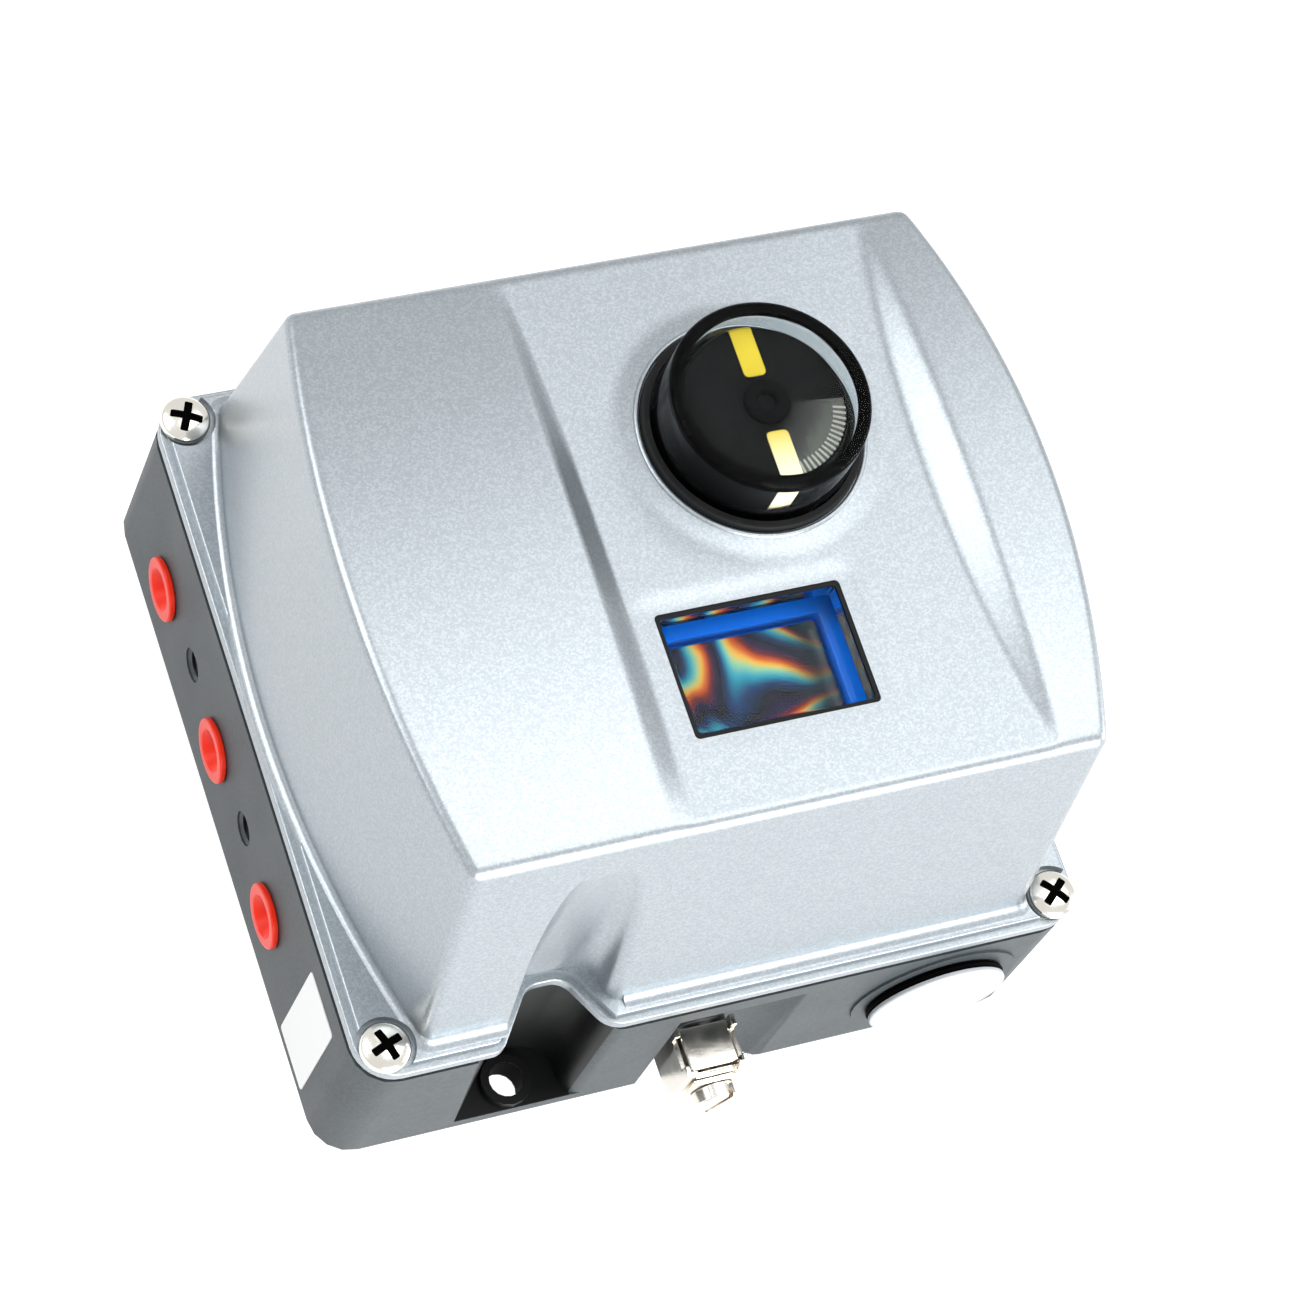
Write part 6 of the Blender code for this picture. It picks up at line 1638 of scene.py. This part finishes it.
@dataclass
class IndicatorDome:
    """The clear dome over the turning drum with its two yellow stripes."""

    x: float = 15.0 * MM
    y: float = 16.0 * MM
    base: float = 90.8 * MM
    flange: float = 21.6 * MM
    flange_top: float = 92.6 * MM
    radius: float = 18.6 * MM
    top_radius: float = 18.1 * MM
    top: float = 111.6 * MM
    wall: float = 2.0 * MM
    roof: float = 2.2 * MM
    edge: float = 1.3 * MM
    inner_edge: float = 0.6 * MM
    foot: float = 5.0 * MM
    drum: float = 15.0 * MM
    drum_top: float = 107.2 * MM
    drum_low: float = 93.7 * MM
    drum_edge: float = 0.6 * MM
    drum_wall: float = 1.5 * MM
    drum_roof: float = 2.0 * MM
    drum_stem: tuple[float, float] = (4.2 * MM, 101.2 * MM)
    stripe_half: float = 2.05 * MM
    stripe_start: float = 5.4 * MM
    stripe_length: float = 14.0 * MM
    stripe_inner: float = 4.9 * MM
    stripe_edge: float = 0.7 * MM
    stripe_corner: float = 0.9 * MM
    skin: float = 0.12 * MM
    skin_depth: tuple[float, float] = (0.6 * MM, 0.5 * MM)
    hub: float = 4.1 * MM
    hub_rise: float = 1.2 * MM
    hub_edge: float = 0.4 * MM
    hub_bore: tuple[float, float] = (1.7 * MM, 0.3 * MM)
    band_inner: float = 15.7 * MM
    band_inset: tuple[float, float] = (0.2 * MM, 0.25 * MM)
    band_edge: float = 1.2 * MM
    band_depth: tuple[float, float] = (2.4 * MM, 1.6 * MM)
    seal: tuple[float, float, float] = (18.7 * MM, 20.1 * MM, 99.7 * MM)
    seal_gap: float = 0.4 * MM
    seal_edge: float = 0.5 * MM
    seal_flare: tuple[float, float] = (2.0 * MM, 1.2 * MM)
    sleeve_gap: tuple[float, float] = (0.5 * MM, 0.15 * MM)
    sleeve_rise: float = 0.4 * MM
    sleeve_top: float = 98.6 * MM
    fan: tuple[float, float] = (-80.0, -6.0)
    fan_reach: tuple[float, float] = (4.6 * MM, 14.2 * MM)
    fan_skin: tuple[float, float] = (0.3 * MM, 0.05 * MM)
    fan_steps: tuple[int, int] = (24, 12)
    ribs: int = 15
    rib_reach: tuple[float, float] = (12.0 * MM, 14.3 * MM)
    rib_half: float = 0.2 * MM
    rib_rise: float = 0.2 * MM
    rib_margin: float = 8.0

    def ring(self, name: str, profile: Sequence[tuple[float, float]], steps: int = 96) -> Object:
        """Turns a profile round the shaft's axis, with heights from the housing's foot."""
        return turned(name, profile, Vector((self.x, self.y, 0.0)), steps=steps)

    def build_dome(self) -> None:
        """Builds and dresses the clear moulding, and a black band inside its top edge as painted shade for
        the dark ring that refraction gives that edge.
        """
        inner = self.radius - self.wall
        ceiling = self.top - self.roof
        foot = self.flange_top + self.foot
        profile = [(0.0, self.top)] + bent_edge(self.top_radius, self.top, self.edge, True)
        profile += [(self.radius, foot), (self.radius, self.flange_top), (self.flange, self.flange_top),
                    (self.flange, self.base), (inner, self.base), (inner, foot)]
        profile += bent_edge(self.top_radius - self.wall, ceiling, self.inner_edge) + [(0.0, ceiling)]
        show(self.ring("clear_dome", profile), DOME_CLEAR, Body.COVER, ["dome"],
             SHARP_TURNED)
        # The pitch black band is painted shade for the dark ring that refraction gives the dome's top edge.
        outer = self.top_radius - self.band_inset[0]
        high = self.top - self.band_inset[1]
        outside, inside = self.band_depth
        band = [(self.band_inner, high)] + bent_edge(outer, high, self.band_edge, True)
        band += [(outer, self.top - outside), (self.band_inner, self.top - inside)]
        show(self.ring("dome_edge_painted_shade", band), BLACK_AND_PAINTED_SHADE, Body.COVER, [], SHARP_TURNED)

    def build_drum(self) -> None:
        """Builds and dresses the black drum and its hub."""
        roof = self.drum_top - self.drum_roof
        inner = self.drum - self.drum_wall
        stem, stem_low = self.drum_stem
        profile = [(0.0, self.drum_top)] + bent_edge(self.drum, self.drum_top, self.drum_edge, True)
        profile += [(self.drum, self.drum_low), (inner, self.drum_low), (inner, roof), (stem, roof),
                    (stem, stem_low), (0.0, stem_low)]
        show(self.ring("indicator_drum", profile), DRUM, Body.SHAFT, ["pointer_drum"],
             SHARP_TURNED)
        low = self.drum_top - MM
        high = self.drum_top + self.hub_rise
        bore, slope = self.hub_bore
        hub = [(bore, low), (bore, high - slope), (bore + slope, high)]
        hub += bent_edge(self.hub, high, self.hub_edge, True) + [(self.hub, low)]
        show(self.ring("indicator_hub", hub, steps=48), BLACK_AND_PAINTED_SHADE, Body.SHAFT, ["pointer_screw"],
             SHARP_TURNED)

    def build_scale(self) -> None:
        """Builds and dresses the fan of painted light on the drum and the fine ribs at its rim, pale with
        painted glint.
        """
        start, end = self.fan
        near, far = self.fan_reach
        sunk, proud = self.fan_skin
        outer, inner = self.fan_steps
        # The fan is painted light: a lit sector on the black drum, palest at its outer middle.
        outline = arc((self.x, self.y), far, start, end, outer)
        outline += arc((self.x, self.y), near, end, start, inner)
        fan = slab("fan_of_painted_light", outline, self.drum_top - sunk, self.drum_top + proud)
        show(fan, PAINTED_LIGHT_FAN, Body.SHAFT, [], SHARP_TURNED)
        # The ribs' pale grey is painted glint on real serrations.
        near, far = self.rib_reach
        rib = span("scale_ribs", (near, -self.rib_half, self.drum_top),
                   (far, self.rib_half, self.drum_top + self.rib_rise))
        shape = edit(rib)
        bmesh.ops.rotate(shape, cent=(0, 0, 0), matrix=Matrix.Rotation(math.radians(start), 3, "Z"),
                         verts=shape.verts)
        bmesh.ops.spin(shape, geom=list(shape.verts) + list(shape.edges) + list(shape.faces),
                       cent=(0, 0, 0), axis=(0, 0, 1), angle=math.radians(end - start - self.rib_margin),
                       steps=self.ribs, use_duplicate=True)
        bmesh.ops.translate(shape, vec=(self.x, self.y, 0.0), verts=shape.verts)
        show(close(rib, shape), RIBS_PAINTED_GLINT, Body.SHAFT, [], SHARP_TURNED)

    def build_stripes(self) -> None:
        """Builds and dresses the stripes, which run over the drum's edge and down its side."""
        out = self.drum + self.skin
        high = self.drum_top + self.skin
        thick, deep = self.skin_depth
        skin = [(self.stripe_inner, high - deep), (out - thick, high - deep),
                (out - thick, self.drum_low), (out, self.drum_low)]
        skin += bent_edge(out, high, self.stripe_edge) + [(self.stripe_inner, high)]
        half = self.stripe_length / 2
        # The front stripe carries the painted reflection of the dome's wall; the back one is plain.
        for name, side, finish in (("front", -1, YELLOW_PAINTED_REFLECTION), ("back", 1, YELLOW)):
            stripe = self.ring(f"stripe_{name}", skin)
            middle = self.y + side * (self.stripe_start + half)
            outline = rounded_rectangle(self.stripe_half, half, self.stripe_corner, self.x, middle, steps=5)
            combine(stripe, "INTERSECT", [slab("bar", outline, self.drum_low - MM, high + MM)])
            show(stripe, finish, Body.SHAFT, [f"pointer_stripe_{name}"], SHARP_TURNED)

    def build_seals(self) -> None:
        """Builds and dresses a black sleeve inside the dome's foot as painted shade, and the gasket round it.
        """
        # The pitch black sleeve is painted shade: it hides the silver cover that the clear wall would show
        # there.
        near = self.drum + self.sleeve_gap[0]
        far = self.radius - self.wall - self.sleeve_gap[1]
        low = self.base + self.sleeve_rise
        sleeve = [(near, low), (far, low), (far, self.sleeve_top), (near, self.sleeve_top)]
        show(self.ring("dome_foot_painted_shade", sleeve), BLACK_AND_PAINTED_SHADE, Body.COVER, [], SHARP_TURNED)
        near, far, high = self.seal
        low = self.flange_top + self.seal_gap
        upper, lower = self.seal_flare
        gasket = [(near, low), (near, high)] + bent_edge(far, high, self.seal_edge, True)
        gasket += [(far, high - upper), (self.flange, low + lower), (self.flange, low)]
        show(self.ring("dome_gasket", gasket), RUBBER, Body.COVER, ["dome_seal"], SHARP_TURNED)

    def build(self) -> None:
        """Builds all of the indicator."""
        self.build_dome()
        self.build_drum()
        self.build_scale()
        self.build_stripes()
        self.build_seals()


@dataclass
class DisplayWindow:
    """The clear window with its black sleeve, and the display and blue panel under it."""

    x: float = 3.7 * MM
    y: float = -26.1 * MM
    half_x: float = 17.4 * MM
    half_y: float = 11.7 * MM
    corner: float = 0.9 * MM
    rim: float = 2.5 * MM
    gap: float = 0.08 * MM
    sleeve: float = 0.75 * MM
    sleeve_rise: tuple[float, float] = (0.2 * MM, 0.15 * MM)
    pane_edge: float = 0.3 * MM
    sleeve_edge: float = 0.15 * MM
    display_edge: float = 0.2 * MM
    panel_edge: float = 0.4 * MM
    base: float = 90.8 * MM
    ledge: float = 92.8 * MM
    top: float = 97.0 * MM

    def outline(self, inset: float) -> list[tuple[float, float]]:
        """The opening's outline, made smaller by an inset."""
        return rounded_rectangle(self.half_x - inset, self.half_y - inset, self.corner, self.x, self.y)

    def build(self) -> None:
        """Builds and dresses the window's pieces."""
        pane = slab("window_glass", self.outline(-self.rim), self.base, self.ledge)
        block = slab("block", self.outline(self.gap + self.sleeve + self.gap), self.base + MM, self.top)
        round_over(combine(pane, "UNION", [block]), self.pane_edge, 3, SHARP_FLAT)
        show(pane, CLEAR, Body.COVER, ["window_pane"], SHARP_FLAT)
        above_ledge, above_top = self.sleeve_rise
        sleeve = slab("window_sleeve", self.outline(self.gap), self.ledge + above_ledge,
                      self.top + above_top)
        way = slab("way", self.outline(self.gap + self.sleeve), self.ledge, self.top + MM)
        round_over(combine(sleeve, "DIFFERENCE", [way]), self.sleeve_edge, 2, SHARP_FLAT)
        show(sleeve, RUBBER, Body.COVER, ["window_seal"], SHARP_FLAT)
        display = softened("display", self.display_edge, 2, SHARP_FLAT)
        show(display, CRYSTAL, Body.HOUSING, ["display"], SHARP_FLAT)
        panel = softened("interface_panel", self.panel_edge, 3, SHARP_FLAT)
        show(panel, BLUE, Body.HOUSING, ["interface_panel"], SHARP_FLAT)


@dataclass
class HousingCasting:
    """The grey housing, its blank label plate and the threads of its tapped holes."""

    face: float = -70.0 * MM
    edge: float = 0.45 * MM
    edge_angle: float = 50.0
    label_y: tuple[float, float] = (-54.5 * MM, -42.0 * MM)
    label_z: tuple[float, float] = (4.5 * MM, 32.5 * MM)
    label_corner: float = 0.8 * MM
    label_thickness: float = 0.18 * MM
    thread_y: tuple[float, float] = (24.5 * MM, -8.5 * MM)
    thread_z: float = 18.6 * MM
    thread: float = 3.25 * MM
    pitch: float = 1.0 * MM
    turns: int = 8
    tooth: float = 0.55 * MM
    thread_start: float = 0.4 * MM
    thread_backing: float = 0.04 * MM
    bolt: tuple[float, float, float] = (-33.2 * MM, -61.8 * MM, 3.27 * MM)
    bore_wall: float = 0.06 * MM
    bore_height: tuple[float, float] = (0.4 * MM, 6.6 * MM)

    def build(self) -> None:
        """Builds and dresses the housing and what sits on it."""
        housing = softened("housing", self.edge, 2, self.edge_angle)
        show(housing, ENAMEL, Body.HOUSING, ["housing"], SHARP_FLAT)
        self.build_label()
        self.build_bore()
        self.build_threads()

    def build_label(self) -> None:
        """Builds and dresses the blank label on the left face."""
        low, high = self.label_y
        bottom, top = self.label_z
        outline = rounded_rectangle((high - low) / 2, (top - bottom) / 2, self.label_corner, steps=4)
        place = Matrix.Translation((self.face, (low + high) / 2, (bottom + top) / 2))
        turn = Facing.LEFT.value @ Matrix.Rotation(math.radians(90), 4, "Z")
        label = slab("blank_label", outline, 0.0, self.label_thickness, place @ turn)
        show(label, LABEL, Body.HOUSING, [])

    def build_bore(self) -> None:
        """Builds and dresses a pitch black lining in the mounting bolt's hole, as painted shade on its wall.
        """
        # The hole's wall is painted pitch black as shade.
        x, y, radius = self.bolt
        low, high = self.bore_height
        inner = radius - self.bore_wall
        bore = turned("bolt_hole_painted_shade", [(inner, low), (radius, low), (radius, high), (inner, high)],
                      Vector((x, y, 0.0)), steps=48)
        show(bore, BLACK_AND_PAINTED_SHADE, Body.HOUSING, [], SHARP_TURNED)

    def build_threads(self) -> None:
        """Builds and dresses the threads of the two tapped holes."""
        profile = []
        for k in range(self.turns):
            depth = -k * self.pitch - self.thread_start
            profile += [(self.thread, depth), (self.thread - self.tooth, depth - self.pitch / 2)]
        end = -self.turns * self.pitch - self.thread_start
        outer = self.thread + self.thread_backing
        profile += [(self.thread, end), (outer, end), (outer, -self.thread_start)]
        for number, y in enumerate(self.thread_y, 1):
            thread = turned(f"thread_{number}", profile, Vector((self.face, y, self.thread_z)),
                            Facing.LEFT, steps=32)
            show(thread, THREAD, Body.HOUSING, [], SHARP_TURNED)


def dress_nodes() -> None:
    """Gives every node that is still shown its finish, by its material slot."""
    finishes = {
        "grey_paint": ENAMEL, "silver_paint": SILVER, "rubber": RUBBER, "red_plastic": RED,
        "white_plastic": WHITE, "nickel": NICKEL, "steel": STEEL, "bronze": BRONZE,
        "aluminium": ALUMINIUM, "black_plastic": BLACK, "yellow_plastic": YELLOW,
        "clear_plastic": CLEAR, "blue_plastic": BLUE, "board": BOARD, "display": CRYSTAL,
    }
    for name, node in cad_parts.items():
        for place in node.material_slots:
            key = place.material.name.split(".")[0]
            if key in finishes:
                place.material = finishes[key].material()
                log.info("%s: %s", name, finishes[key].name)
            else:
                log.info("%s: no finish for %s", name, key)


def main() -> None:
    """Builds the pieces in order."""
    logging.basicConfig(level=logging.INFO, format="%(message)s")
    Studio().build()
    dress_nodes()
    cover = CoverShell()
    cover.build()
    CoverScrews(cover.screw_places()).build()
    HousingCasting().build()
    PortPlugs().build()
    CableEntry().build()
    EarthTerminal().build()
    IndicatorDome().build()
    DisplayWindow().build()


if __name__ == "__main__":
    main()
